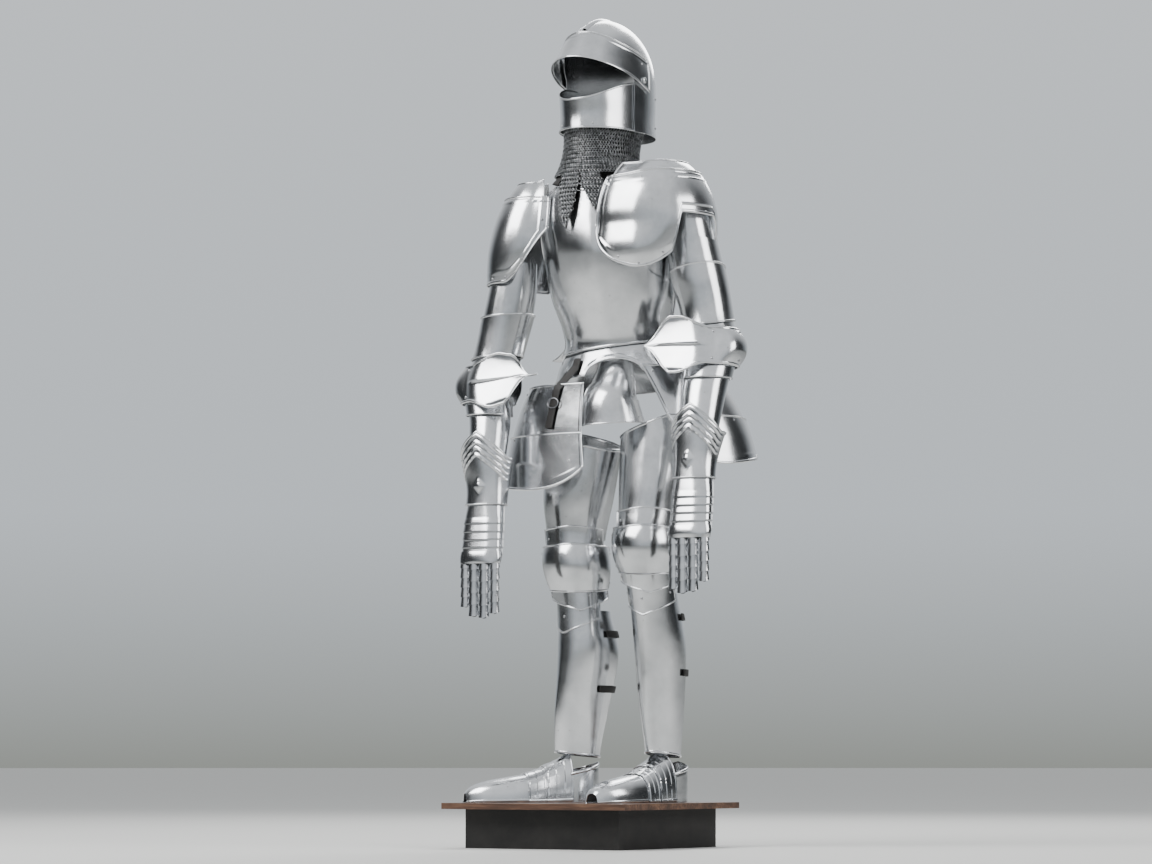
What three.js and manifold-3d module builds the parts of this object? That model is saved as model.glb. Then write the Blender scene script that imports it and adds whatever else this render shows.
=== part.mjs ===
// Suit of plate armour, standing empty on its display base.
// Millimetres, +Z up, the suit faces -Y, its own left is +X.
// Every plate is a wall of constant thickness laid on a body form:
// a form is a short table of horizontal sections, a plate is a patch of it.
import * as THREE from "three";
import { mergeVertices } from "three/addons/utils/BufferGeometryUtils.js";
import Module from "manifold-3d";

const wasm = await Module();
wasm.setup();

// ---- driving dimensions -------------------------------------------------
const BOARD_SIDE = 500; // square display board
const BOARD_T = 14;
const PLINTH_SIDE = 420;
const PLINTH_H = 90;
const LIFT = PLINTH_H + BOARD_T + 0.4; // soles stand this high
const STEEL_T = 1.6; // plate wall
const THIN_T = 1.4; // gauntlet and small lames
const LAP = 3.2; // step between a lame and the one it laps over
const PIVOT = [15, 44, 1690]; // visor axis passes through this point, along X
const SKULL_R = 150; // skull radius about the visor axis
const SKULL_A = 98; // skull half width
const VISOR_GAP = 5.0; // visor rides this far outside the skull
const HOLE_R = 4.2;
const STUD_R = 3.4;

const STEEL = 0xb9bcc0;
const DARK = 0x2a2622;
const WOOD = 0x5b4634;

// ---- small maths ----------------------------------------------------------
const rad = (d) => (d * Math.PI) / 180;
const lerp = (a, b, k) => a + (b - a) * k;
const clamp = (x, a, b) => Math.min(b, Math.max(a, x));
const smooth = (x) => {
  const k = clamp(x, 0, 1);
  return k * k * (3 - 2 * k);
};
const powSigned = (x, p) => Math.sign(x) * Math.pow(Math.abs(x), p);

// Row of a table at height h: cubic through neighbouring rows.
function rowAt(rows, h) {
  const n = rows.length;
  const up = rows[0][0] > rows[n - 1][0];
  let i = 0;
  while (i < n - 2 && (up ? h < rows[i + 1][0] : h > rows[i + 1][0])) i++;
  const a = rows[i];
  const b = rows[i + 1];
  const k = clamp((h - a[0]) / (b[0] - a[0]), 0, 1);
  const p = rows[Math.max(0, i - 1)];
  const q = rows[Math.min(n - 1, i + 2)];
  return a.map((v, c) => {
    if (c === 0) return h;
    const d = b[0] - a[0];
    const ma = i > 0 ? ((b[c] - p[c]) / (b[0] - p[0])) * d : b[c] - a[c];
    const mb = i < n - 2 ? ((q[c] - a[c]) / (q[0] - a[0])) * d : b[c] - a[c];
    const k2 = k * k;
    const k3 = k2 * k;
    return (
      (2 * k3 - 3 * k2 + 1) * v +
      (k3 - 2 * k2 + k) * ma +
      (-2 * k3 + 3 * k2) * b[c] +
      (k3 - k2) * mb
    );
  });
}

// A body form. Columns: h, x, y, yaw, a (half width), bf (front depth),
// bb (back depth), n (2 is an ellipse, more is squarer), keel (front ridge).
function form(rows, opts = {}) {
  const base = (theta, h) => {
    const [, x, y, yaw, a, bf, bb, n, keel] = rowAt(rows, h);
    const s = Math.sin(theta);
    const c = Math.cos(theta);
    const p = 2 / n;
    const lx = a * powSigned(s, p);
    let ly = -(c > 0 ? bf : bb) * powSigned(c, p);
    const t = Math.atan2(s, c);
    ly -= keel * Math.pow(Math.max(0, 1 - Math.abs(t) / rad(opts.keelWidth || 50)), 1.3);
    const w = rad(yaw);
    return [
      x + lx * Math.cos(w) - ly * Math.sin(w),
      y + lx * Math.sin(w) + ly * Math.cos(w),
      h + (opts.tilt || 0) * lx,
    ];
  };
  return (theta, h, off = 0) => {
    const p = base(theta, h);
    const e = 0.02;
    const f = 2;
    const a = base(theta + e, h);
    const b = base(theta - e, h);
    const c = base(theta, h + f);
    const d = base(theta, h - f);
    const u = [a[0] - b[0], a[1] - b[1], a[2] - b[2]];
    const v = [c[0] - d[0], c[1] - d[1], c[2] - d[2]];
    const m = [
      u[1] * v[2] - u[2] * v[1],
      u[2] * v[0] - u[0] * v[2],
      u[0] * v[1] - u[1] * v[0],
    ];
    const l = Math.hypot(...m) || 1;
    return p.map((q, i) => q + (m[i] / l) * off);
  };
}

// Closed solid between two grids of points, f(u, v, side): side 1 is the outer
// face and 0 the inner one. A ring closes on itself in u.
function wall(nu, nv, ring, f) {
  const pts = [];
  const tris = [];
  const find = new Map();
  const put = (p) => {
    const key = p.map((q) => Math.round(q * 2000)).join();
    if (!find.has(key)) {
      find.set(key, pts.length);
      pts.push(p);
    }
    return find.get(key);
  };
  const cols = ring ? nu : nu + 1;
  const ids = [1, 0].map((side) => {
    const rows = [];
    for (let j = 0; j <= nv; j++) {
      const row = [];
      for (let i = 0; i < cols; i++) row.push(put(f(i / nu, j / nv, side)));
      rows.push(row);
    }
    return rows;
  });
  const tri = (a, b, c) => {
    if (a !== b && b !== c && a !== c) tris.push([a, b, c]);
  };
  const quad = (a, b, c, d) => {
    tri(a, b, c);
    tri(a, c, d);
  };
  const [out, inn] = ids;
  for (let j = 0; j < nv; j++)
    for (let i = 0; i < nu; i++) {
      const k = (i + 1) % cols;
      quad(out[j][i], out[j][k], out[j + 1][k], out[j + 1][i]);
      quad(inn[j][i], inn[j + 1][i], inn[j + 1][k], inn[j][k]);
    }
  for (let i = 0; i < nu; i++) {
    const k = (i + 1) % cols;
    quad(out[0][k], out[0][i], inn[0][i], inn[0][k]);
    quad(out[nv][i], out[nv][k], inn[nv][k], inn[nv][i]);
  }
  if (!ring)
    for (let j = 0; j < nv; j++) {
      quad(out[j][0], out[j + 1][0], inn[j + 1][0], inn[j][0]);
      quad(out[j + 1][nu], out[j][nu], inn[j][nu], inn[j + 1][nu]);
    }
  return solid(pts, tris);
}

// Points and triangles as a manifold, lifted onto the base, faces turned out.
function solid(pts, tris) {
  let vol = 0;
  for (const [a, b, c] of tris) {
    const [p, q, r] = [pts[a], pts[b], pts[c]];
    vol +=
      p[0] * (q[1] * r[2] - q[2] * r[1]) +
      p[1] * (q[2] * r[0] - q[0] * r[2]) +
      p[2] * (q[0] * r[1] - q[1] * r[0]);
  }
  const verts = new Float32Array(pts.length * 3);
  pts.forEach((p, i) => verts.set([p[0], p[1], p[2] + LIFT], 3 * i));
  const idx = new Uint32Array(tris.length * 3);
  tris.forEach((t, i) => idx.set(vol > 0 ? t : [t[0], t[2], t[1]], 3 * i));
  return new wasm.Manifold(
    new wasm.Mesh({ numProp: 3, vertProperties: verts, triVerts: idx }),
  );
}

// A three.js geometry as a manifold.
function asManifold(geometry) {
  geometry.deleteAttribute("normal");
  geometry.deleteAttribute("uv");
  const g = mergeVertices(geometry, 1e-4);
  return new wasm.Manifold(
    new wasm.Mesh({
      numProp: 3,
      vertProperties: new Float32Array(g.getAttribute("position").array),
      triVerts: new Uint32Array(g.getIndex().array),
    }),
  );
}

// An upright cone frustum on the point [x, y, z].
function frustum(rLow, rHigh, length, [x, y, z], sides = 8) {
  return asManifold(
    new THREE.CylinderGeometry(rHigh, rLow, length, sides)
      .rotateX(Math.PI / 2)
      .translate(x, y, z + length / 2 + LIFT),
  );
}

const suit = new THREE.Group();
suit.name = "suit_of_plate_armour";

function add(name, man, color = STEEL, roughness = 0.25, metalness = 1) {
  const m = man.getMesh();
  const g = new THREE.BufferGeometry();
  g.setAttribute("position", new THREE.BufferAttribute(new Float32Array(m.vertProperties), 3));
  g.setIndex(new THREE.BufferAttribute(new Uint32Array(m.triVerts), 1));
  g.computeVertexNormals();
  const mesh = new THREE.Mesh(
    g,
    new THREE.MeshStandardMaterial({ color, roughness, metalness }),
  );
  mesh.name = name;
  suit.add(mesh);
}

// An edge that runs round a form: height h, f tips it at the front, s tips it
// to the left side, v is a point at the front that is w degrees to each side.
const edge = (h, f = 0, s = 0, v = 0, w = 90) => (t) =>
  h + f * Math.cos(t) + s * Math.sin(t) + v * Math.max(0, 1 - Math.abs(t) / rad(w));

// A plate: patch of a form between two angles (degrees) and two edges.
function plate(at, o) {
  const nu = o.nu || 12;
  const nv = o.nv || 3;
  const t = o.t || STEEL_T;
  const [o0, o1] = o.off || [0, 0];
  const th0 = typeof o.from === "function" ? o.from : () => o.from;
  const th1 = typeof o.to === "function" ? o.to : () => o.to;
  const ring = Boolean(o.ring);
  return wall(nu, nv, ring, (u, v, side) => {
    const th = rad(lerp(th0(v), th1(v), u));
    const h = lerp(o.top(th, u), o.bottom(th, u), v);
    const extra = o.swell ? o.swell(th, v, u) : 0;
    return at(th, h, lerp(o0, o1, v) + extra - (side ? 0 : t));
  });
}

// ---- display base -----------------------------------------------------------
function block(side, h0, h1) {
  return asManifold(
    new THREE.BoxGeometry(side, side, h1 - h0).translate(0, 0, (h0 + h1) / 2),
  );
}
add("base_plinth", block(PLINTH_SIDE, 0, PLINTH_H - 0.3), DARK, 0.8, 0);
add("base_board", block(BOARD_SIDE, PLINTH_H, PLINTH_H + BOARD_T), WOOD, 0.6, 0);

// ---- torso --------------------------------------------------------------------
// h, x, y, yaw, a, bf, bb, n, keel
const torso = form(
  [
    [870, 48, 82, 20, 196, 158, 158, 2.1, 0],
    [950, 47, 78, 20, 176, 144, 144, 2.1, 0],
    [1010, 44, 72, 20, 158, 126, 128, 2.1, 0],
    [1066, 38, 60, 20, 126, 96, 100, 2.1, 5],
    [1110, 36, 55, 20, 128, 104, 100, 2.1, 9],
    [1180, 32, 48, 19, 146, 122, 108, 2.1, 12],
    [1270, 27, 38, 18, 154, 134, 114, 2.1, 12],
    [1350, 20, 32, 17, 158, 126, 112, 2.1, 10],
    [1410, 13, 27, 15, 150, 110, 104, 2.0, 7],
    [1445, 9, 25, 12, 112, 98, 92, 2.0, 4],
    [1475, 9, 28, 8, 84, 84, 82, 2.0, 0],
    [1510, 11, 34, 4, 70, 74, 76, 2.0, 0],
    [1600, 14, 40, 0, 66, 70, 76, 2.0, 0],
  ],
  { keelWidth: 60 },
);
const armhole = (t, mid, half, neck, drop, low) => {
  const d = Math.abs(Math.atan2(Math.sin(t - mid), Math.cos(t - mid)));
  return d < half
    ? neck + drop * (d / half)
    : lerp(neck + drop, low, smooth((d - half) / (rad(90) - half)));
};
add(
  "breastplate",
  plate(torso, {
    from: -87,
    to: 87,
    nu: 16,
    nv: 7,
    top: (t) => armhole(t, 0, rad(40), 1426, 16, 1262),
    bottom: edge(1056, 0, 16),
    off: [0, 0],
  }),
);
add(
  "backplate",
  plate(torso, {
    from: 92,
    to: 268,
    nu: 12,
    nv: 6,
    top: (t) => armhole(t, Math.PI, rad(40), 1438, 4, 1272),
    bottom: edge(1042, 0, 16),
    off: [0, 2],
    swell: (t, v) => 22 * Math.pow(clamp((v - 0.8) / 0.2, 0, 1), 1.5),
  }),
);
add(
  "fauld_front",
  plate(torso, {
    from: -86,
    to: 86,
    nu: 18,
    nv: 2,
    top: edge(1066, 0, 16),
    bottom: (t) =>
      994 + 14 * Math.sin(t) + 34 * Math.sqrt(Math.max(0, 1 - Math.pow(t / rad(24), 2))),
    off: [-5.5, -4],
  }),
);
add(
  "culet_rear",
  plate(torso, {
    from: 94,
    to: 266,
    nu: 12,
    nv: 1,
    top: edge(1060, 0, 16),
    bottom: edge(968, 0, 12),
    off: [-5.5, -3],
  }),
);

// ---- mail collar with two hanging tails -------------------------------------------
const tail = (t, at0, w, drop) =>
  drop * Math.pow(Math.max(0, 1 - Math.abs(t - rad(at0)) / rad(w)), 0.8);
const neck = form([
  [1592, 14, 40, 0, 84, 124, 108, 2.0, 0],
  [1548, 11, 34, 4, 80, 112, 100, 2.0, 0],
  [1500, 8, 28, 8, 86, 106, 98, 2.0, 0],
  [1462, 8, 25, 11, 106, 106, 98, 2.0, 0],
  [1430, 10, 26, 13, 138, 119, 108, 2.0, 4],
  [1360, 19, 32, 17, 178, 142, 124, 2.1, 10],
]);
add(
  "mail_collar",
  plate(neck, {
    ring: true,
    from: -175,
    to: 185,
    nu: 41,
    nv: 3,
    t: 2.6,
    top: () => 1590,
    bottom: (t) => 1466 - tail(t, -17, 13.2, 140) - tail(t, 9.34, 13.2, 118),
  }),
  0x6d7278,
  0.5,
);

// ---- brayette: three lames over the fork ---------------------------------------------
const fork = form([
  [1062, 62, 16, 18, 30, 26, 20, 2, 0],
  [1000, 65, 4, 18, 46, 38, 20, 2, 0],
  [940, 67, -18, 18, 60, 60, 20, 2, 0],
  [868, 68, -14, 18, 78, 76, 20, 2, 0],
]);
[
  [1026, 966, 0],
  [971, 920, LAP],
  [925, 870, 2 * LAP],
].forEach(([top, low, out], i) =>
  add(
    "brayette_lame_" + (i + 1),
    plate(fork, {
      from: -80,
      to: 80,
      nu: 10,
      nv: 2,
      top: edge(top, 0, 4),
      bottom: edge(low, 0, 4),
      off: [out, out],
      t: THIN_T,
    }),
  ),
);

// ---- tassets -----------------------------------------------------------------------------
const hips = form([
  [1030, 46, 78, 20, 184, 148, 150, 2.1, 0],
  [960, 48, 84, 20, 238, 154, 190, 2.1, 0],
  [860, 50, 92, 20, 280, 176, 230, 2.1, 0],
  [700, 50, 100, 20, 310, 206, 260, 2.1, 0],
]);
function tasset(side, name, tilt, drop, frontTop, frontLow) {
  const s = side;
  const turn = (d) => (s > 0 ? d : -d);
  const lo = drop + tilt;
  const seam = 880 + tilt;
  const topEdge = 1006 + tilt;
  const front = (h) => lerp(frontTop, frontLow, (topEdge - h) / (topEdge - lo));
  const patch = (top, low, off, round) =>
    plate(hips, {
      from: (v) => turn(front(lerp(top, low, v))),
      to: (v) => turn(112 + 8 * ((topEdge - lerp(top, low, v)) / 240)),
      nu: 12,
      nv: round ? 3 : 2,
      top: () => top,
      bottom: (t, u) =>
        low + (round ? 62 * Math.pow(Math.abs(2 * u - 1), 5) : 0) + (round ? 44 * u : 0),
      off: [off, off],
    });
  add(name + "_upper", patch(topEdge, seam - 8, 0, false));
  add(name + "_lower", patch(seam + 8, lo, LAP, true));
}
tasset(-1, "tasset_right", -34, 742, 17, 13);
tasset(1, "tasset_left", 6, 760, 18, 33);

// ---- legs ------------------------------------------------------------------------------------
const legRight = form([
  [900, -40, 50, 0, 90, 88, 88, 2.1, 0],
  [720, -57, 34, 10, 84, 86, 84, 2.1, 0],
  [632, -60, 28, 24, 72, 74, 72, 2.1, 0],
  [582, -60, 26, 30, 68, 72, 70, 2.1, 2],
  [532, -56, 27, 30, 62, 64, 68, 2.1, 4],
  [440, -46, 30, 30, 60, 62, 66, 2.1, 5],
]);
const shinRight = form([
  [520, -50, 28, -4, 60, 62, 72, 2.1, 4],
  [440, -45, 28, -8, 60, 60, 88, 2.1, 5],
  [352, -42, 28, -16, 64, 64, 104, 2.1, 5],
  [219, -50, 24, -26, 52, 64, 82, 2.1, 5],
  [130, -54, 22, -36, 43, 58, 64, 2.1, 4],
  [60, -54, 22, -40, 40, 50, 56, 2.1, 3],
]);
const legLeft = form([
  [930, 128, 100, 14, 90, 88, 90, 2.1, 0],
  [750, 130, 64, 18, 80, 84, 82, 2.1, 0],
  [680, 130, 44, 26, 72, 75, 73, 2.1, 0],
  [626, 130, 32, 30, 68, 72, 70, 2.1, 2],
  [576, 131, 32, 30, 62, 66, 68, 2.1, 4],
  [480, 134, 48, 30, 60, 62, 72, 2.1, 5],
]);
const shinLeft = form([
  [560, 132, 36, 10, 60, 62, 74, 2.1, 4],
  [480, 135, 52, 8, 60, 60, 84, 2.1, 5],
  [375, 139, 70, 4, 62, 64, 92, 2.1, 5],
  [231, 138, 80, 0, 53, 62, 82, 2.1, 5],
  [130, 140, 86, -4, 43, 54, 62, 2.1, 4],
  [60, 140, 88, -6, 39, 49, 54, 2.1, 3],
]);
function leg(at, shin, side, up) {
  const n = "_" + side;
  const z = (h) => h + up; // the left knee stands higher than the right
  const ring = { ring: true, from: -180, to: 180, nu: 16 };
  add("cuisse" + n, plate(at, {
    ...ring,
    nv: 3,
    top: edge(z(850), -6, side === "left" ? 34 : -26),
    bottom: edge(z(610), -4, 0),
    off: [0, -1.5],
  }));
  add("poleyn_upper_lame" + n, plate(at, {
    from: -66,
    to: 66,
    nu: 8,
    nv: 1,
    top: edge(z(636), 0, 0, 8, 60),
    bottom: edge(z(588), 0, 0),
    off: [LAP, LAP],
  }));
  add("poleyn" + n, plate(at, {
    from: -104,
    to: 104,
    nu: 14,
    nv: 4,
    top: edge(z(598), 0, 0, 4, 50),
    bottom: edge(z(494), -8, 0),
    off: [2 * LAP + 1, 2 * LAP + 1],
    swell: (t, v) => 17 * Math.sin(Math.PI * v) * (0.5 + 0.5 * Math.cos(t)),
  }));
  add("poleyn_lower_lame" + n, plate(at, {
    from: -92,
    to: 92,
    nu: 12,
    nv: 1,
    top: edge(z(506), -4, 0),
    bottom: edge(z(472), 0, 0, -28, 80),
    off: [LAP + 1, LAP + 1],
  }));
  add("demi_greave" + n, plate(shin, {
    from: -90,
    to: 90,
    nu: 12,
    nv: 2,
    top: edge(z(480), 0, 0),
    bottom: edge(z(428), 0, 0, -36, 90),
    off: [-3, -3],
  }));
  add("greave" + n, plate(shin, {
    ...ring,
    nv: 4,
    top: edge(z(446), 0, 0),
    bottom: edge(108, 6, 0),
    off: [-3 - LAP, -3 - LAP],
  }));
}
leg(legRight, shinRight, "right", 0);
leg(legLeft, shinLeft, "left", 38);

// ---- sabatons --------------------------------------------------------------------------------
// Foot form: arches from sole to sole. Columns: distance ahead of the ankle,
// half width, height of the arch, sideways set of its middle.
const foot = [
  [-66, 30, 66, 0],
  [-40, 42, 104, 0],
  [0, 47, 112, 0],
  [50, 48, 90, 2],
  [110, 52, 68, 4],
  [170, 51, 57, 4],
  [220, 42, 47, 2],
  [252, 26, 33, 0],
  [266, 12, 17, 0],
];
function footAt(x0, y0, yaw) {
  const w = rad(yaw);
  return (phi, d, off) => {
    const [, a, c, m] = rowAt(foot, d);
    const ax = Math.max(1.5, a + off);
    const cz = Math.max(2.5, c + off);
    const lx = m + ax * powSigned(Math.sin(phi), 0.8);
    const lz = cz * Math.pow(Math.max(0, Math.cos(phi)), 0.75);
    return [x0 + lx * Math.cos(w) + d * Math.sin(w), y0 + lx * Math.sin(w) - d * Math.cos(w), lz];
  };
}
function sabaton(x0, y0, yaw, side) {
  const at = footAt(x0, y0, yaw);
  const w = rad(yaw);
  const arch = (d0, d1, o, nv, nu = 10) =>
    wall(nu, nv, false, (u, v, s) =>
      at(rad(lerp(-90, 90, u)), lerp(d0, d1, v), o - (s ? 0 : STEEL_T)));
  add("sabaton_toe_" + side, arch(112, 262, 0, 5));
  add("sabaton_lame_" + side, arch(66, 122, LAP, 2));
  // Instep arch, run round the heel in one plate.
  const heel = wall(12, 1, false, (u, v, s) => {
    const t = rad(lerp(-118, 118, u));
    const r = 2 * LAP - (s ? 0 : STEEL_T);
    const lx = (47 + r) * Math.sin(t) * 1.02;
    const d = -6 - (44 + r) * Math.cos(t);
    const h = lerp(94 - 26 * Math.abs(t / rad(118)), 0.6, v);
    return [x0 + lx * Math.cos(w) + d * Math.sin(w), y0 + lx * Math.sin(w) - d * Math.cos(w), h];
  });
  add("sabaton_instep_" + side, arch(14, 78, 2 * LAP, 2).add(heel));
}
sabaton(-58, 14, -42, "right");
sabaton(140, 88, -6, "left");

// ---- helmet -------------------------------------------------------------------------------------
// Above the axis the skull is a surface of revolution about the visor axis,
// so the visor turns clear of it; below the axis it drops straight.
const lowerHelm = [
  [1690, 98, 150, 150],
  [1640, 98, 148, 150],
  [1600, 97, 145, 149],
  [1566, 99, 147, 152],
];
function helm(theta, h, off = 0) {
  const s = Math.sin(theta);
  const c = Math.cos(theta);
  let k = 1;
  let z = h;
  let [, a, bf, bb] = lowerHelm[0];
  if (h > PIVOT[2]) {
    const b = Math.asin(clamp((h - PIVOT[2]) / SKULL_R, 0, 1));
    k = Math.cos(b);
    z = PIVOT[2] + (SKULL_R + off) * Math.sin(b);
  } else {
    [, a, bf, bb] = rowAt(lowerHelm, h);
  }
  return [
    PIVOT[0] + (a + off) * k * s,
    PIVOT[1] - ((c > 0 ? bf : bb) + off) * k * c,
    z,
  ];
}
// Height of a point b degrees up the skull from the visor axis.
const upSkull = (b) => PIVOT[2] + SKULL_R * Math.sin(rad(b));
// A round bar on the visor axis, from x0 to x1.
const rod = (r, x0, x1) =>
  asManifold(
    new THREE.CylinderGeometry(r, r, x1 - x0, 12)
      .rotateZ(Math.PI / 2)
      .translate((x0 + x1) / 2, PIVOT[1], PIVOT[2] + LIFT),
  );
function skull() {
  const full = wall(28, 7, true, (u, v, side) => {
    const crown = 5 / 7; // share of the rows that lie above the axis
    const h =
      v < crown
        ? PIVOT[2] + SKULL_R * Math.sin((Math.PI / 2) * (1 - v / crown))
        : lerp(PIVOT[2], 1566, (v - crown) / (1 - crown));
    return helm(rad(lerp(-180, 180, u)), h, side ? 0 : -STEEL_T);
  });
  // Face opening, cut from side to side: its side view in y and height.
  const face = new THREE.Shape(
    [[-200, 1500], [14, 1500], [14, 1702], [-26, 1756], [-200, 1778]]
      .map(([y, h]) => new THREE.Vector2(y, h + LIFT)),
  );
  const toSide = new THREE.Matrix4().makeBasis(
    new THREE.Vector3(0, 1, 0),
    new THREE.Vector3(0, 0, 1),
    new THREE.Vector3(1, 0, 0),
  );
  const cutter = asManifold(
    new THREE.ExtrudeGeometry(face, { depth: 400, bevelEnabled: false })
      .applyMatrix4(toSide)
      .translate(-200, 0, 0),
  );
  const shell = full.subtract(cutter);
  // Comb: a low ridge over the crown, from the brow to the nape.
  const comb = wall(2, 10, false, (u, v, side) => {
    const b = rad(lerp(50, 186, v));
    const r = SKULL_R + (side ? 3.2 - 2.4 * Math.abs(2 * u - 1) : -1.0);
    return [
      PIVOT[0] + lerp(-5, 5, u),
      PIVOT[1] - r * Math.cos(b),
      PIVOT[2] + r * Math.sin(b),
    ];
  });
  const left = PIVOT[0] + SKULL_A;
  const right = PIVOT[0] - SKULL_A;
  return shell
    .add(comb)
    .add(rod(STUD_R, left - 1.2, left + 8.2))
    .add(rod(7, left + 6.2, left + 8.4))
    .add(rod(STUD_R, right - 8.2, right + 1.2))
    .add(rod(7, right - 8.4, right - 6.2));
}
add("helmet_skull", skull());
add("helmet_visor", wall(20, 4, false, (u, v, side) => {
  const t = rad(lerp(-101, 101, u));
  const c = Math.cos(t);
  const hi = 1750 + 44 * Math.max(c, -0.2);
  const lo = 1674 + 52 * Math.max(c, -0.2);
  const flare = 14 * Math.pow(v, 3) * Math.max(0, c);
  return helm(t, lerp(hi, lo, v), 5 + 2.6 * Math.max(0, c) + flare - (side ? 0 : STEEL_T));
})
  .subtract(rod(HOLE_R, PIVOT[0] + 90, PIVOT[0] + 115))
  .subtract(rod(HOLE_R, PIVOT[0] - 115, PIVOT[0] - 90)));
add("helmet_bevor", wall(18, 3, false, (u, v, side) => {
  const t = rad(lerp(-97, 97, u));
  const hi = 1638 + 46 * Math.pow(Math.abs(Math.sin(t)), 2.5);
  return helm(t, lerp(hi, 1566, v), -3.4 - (side ? 0 : STEEL_T));
}));

// ---- pauldrons --------------------------------------------------------------------------------
// A dome over the shoulder: centre, half axes, yaw; b is the angle up from the
// level of the centre, t the angle round it from the front toward +X.
function dome(cx, cy, cz, a, b0, c0, yaw, lean = 0) {
  const w = rad(yaw);
  return (t, b, off) => {
    const lx = (a + off) * Math.cos(b) * Math.sin(t) + lean * c0 * Math.sin(b);
    const ly = -(b0 + off) * Math.cos(b) * Math.cos(t);
    return [
      cx + lx * Math.cos(w) - ly * Math.sin(w),
      cy + lx * Math.sin(w) + ly * Math.cos(w),
      cz + (c0 + off) * Math.sin(b),
    ];
  };
}
function band(at, o) {
  return wall(o.nu, o.nv, false, (u, v, side) => {
    const td = lerp(o.from, o.to, u);
    const b = rad(lerp(o.top(td), o.low(td), v));
    const lift = o.lift ? o.lift(td, (b * 180) / Math.PI) : 0;
    return at(rad(td), b, (o.off || 0) + lift - (side ? 0 : STEEL_T));
  });
}
const domeLeft = dome(160, 26, 1342, 147, 146, 172, 14);
// The front wing stands off the breast, more so toward its lower rim.
const liftLeft = (d, b) =>
  8 * smooth((-8 - d) / 36) +
  26 * smooth(-b / 30) * smooth((40 - d) / 40) +
  26 * smooth((d - 140) / 40);
add("pauldron_left", band(domeLeft, {
  from: -43,
  to: 186,
  nu: 26,
  nv: 4,
  lift: liftLeft,
  top: (d) => 34 + 10 * smooth((d + 68) / 100) - 10 * smooth((d - 120) / 86),
  low: (d) =>
    d < 35
      ? -44 * Math.sqrt(Math.max(0, 1 - Math.pow((d - 5) / 50, 2))) + 8
      : lerp(-26, 4, smooth((d - 35) / 8)) - 18 * smooth((d - 84) / 14),
}));
add("pauldron_lame_left", band(domeLeft, {
  from: -36,
  to: 170,
  nu: 16,
  nv: 1,
  lift: liftLeft,
  top: (d) => 50 + 8 * smooth((d + 68) / 100) - 8 * smooth((d - 120) / 86),
  low: (d) => 32 + 10 * smooth((d + 68) / 100) - 10 * smooth((d - 120) / 86),
  off: -LAP,
}));
const domeRight = dome(-151, -38, 1296, 95, 100, 186, 12, 0.16);
const liftRight = (d) => 12 * smooth((d - 16) / 30) + 16 * smooth((-150 - d) / 40);
add("pauldron_right", band(domeRight, {
  from: -194,
  to: 45,
  nu: 20,
  nv: 4,
  lift: liftRight,
  top: (d) => 40 - 4 * smooth((d - 10) / 40),
  low: (d) => -27 + 38 * Math.pow(smooth((d + 14) / 62), 1.4),
}));
add("pauldron_lame_right", band(domeRight, {
  from: -180,
  to: 36,
  nu: 16,
  nv: 1,
  lift: liftRight,
  top: (d) => 58,
  low: (d) => 36 - 4 * smooth((d - 10) / 40),
  off: -LAP,
}));

// ---- arms ------------------------------------------------------------------------------------------
const armRight = form([
  [1400, -166, -48, 10, 58, 64, 62, 2.1, 0],
  [1300, -174, -55, 10, 58, 62, 62, 2.1, 0],
  [1185, -184, -62, 8, 60, 62, 62, 2.1, 0],
  [1060, -206, -78, 6, 55, 57, 58, 2.1, 0],
  [976, -226, -96, 6, 56, 58, 62, 2.1, 0],
  [884, -200, -128, 6, 53, 54, 54, 2.1, 0],
  [804, -190, -152, 6, 49, 48, 46, 2.1, 0],
  [724, -180, -166, 6, 44, 38, 38, 2.2, 0],
  [644, -174, -188, 6, 50, 30, 32, 2.4, 0],
  [554, -169, -206, 6, 50, 26, 26, 2.6, 0],
]);
const armLeft = form([
  [1420, 226, 50, 18, 56, 70, 68, 2.1, 0],
  [1320, 238, 54, 18, 60, 66, 64, 2.1, 0],
  [1208, 260, 60, 16, 63, 66, 66, 2.1, 0],
  [1130, 280, 60, 12, 58, 60, 62, 2.1, 0],
  [1046, 300, 46, 8, 60, 60, 66, 2.1, 0],
  [950, 306, 8, 6, 56, 56, 58, 2.1, 0],
  [860, 312, -26, 6, 51, 49, 49, 2.1, 0],
  [780, 315, -50, 6, 45, 38, 38, 2.2, 0],
  [700, 324, -76, 6, 50, 30, 32, 2.4, 0],
  [610, 329, -96, 6, 50, 26, 26, 2.6, 0],
]);
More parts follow.
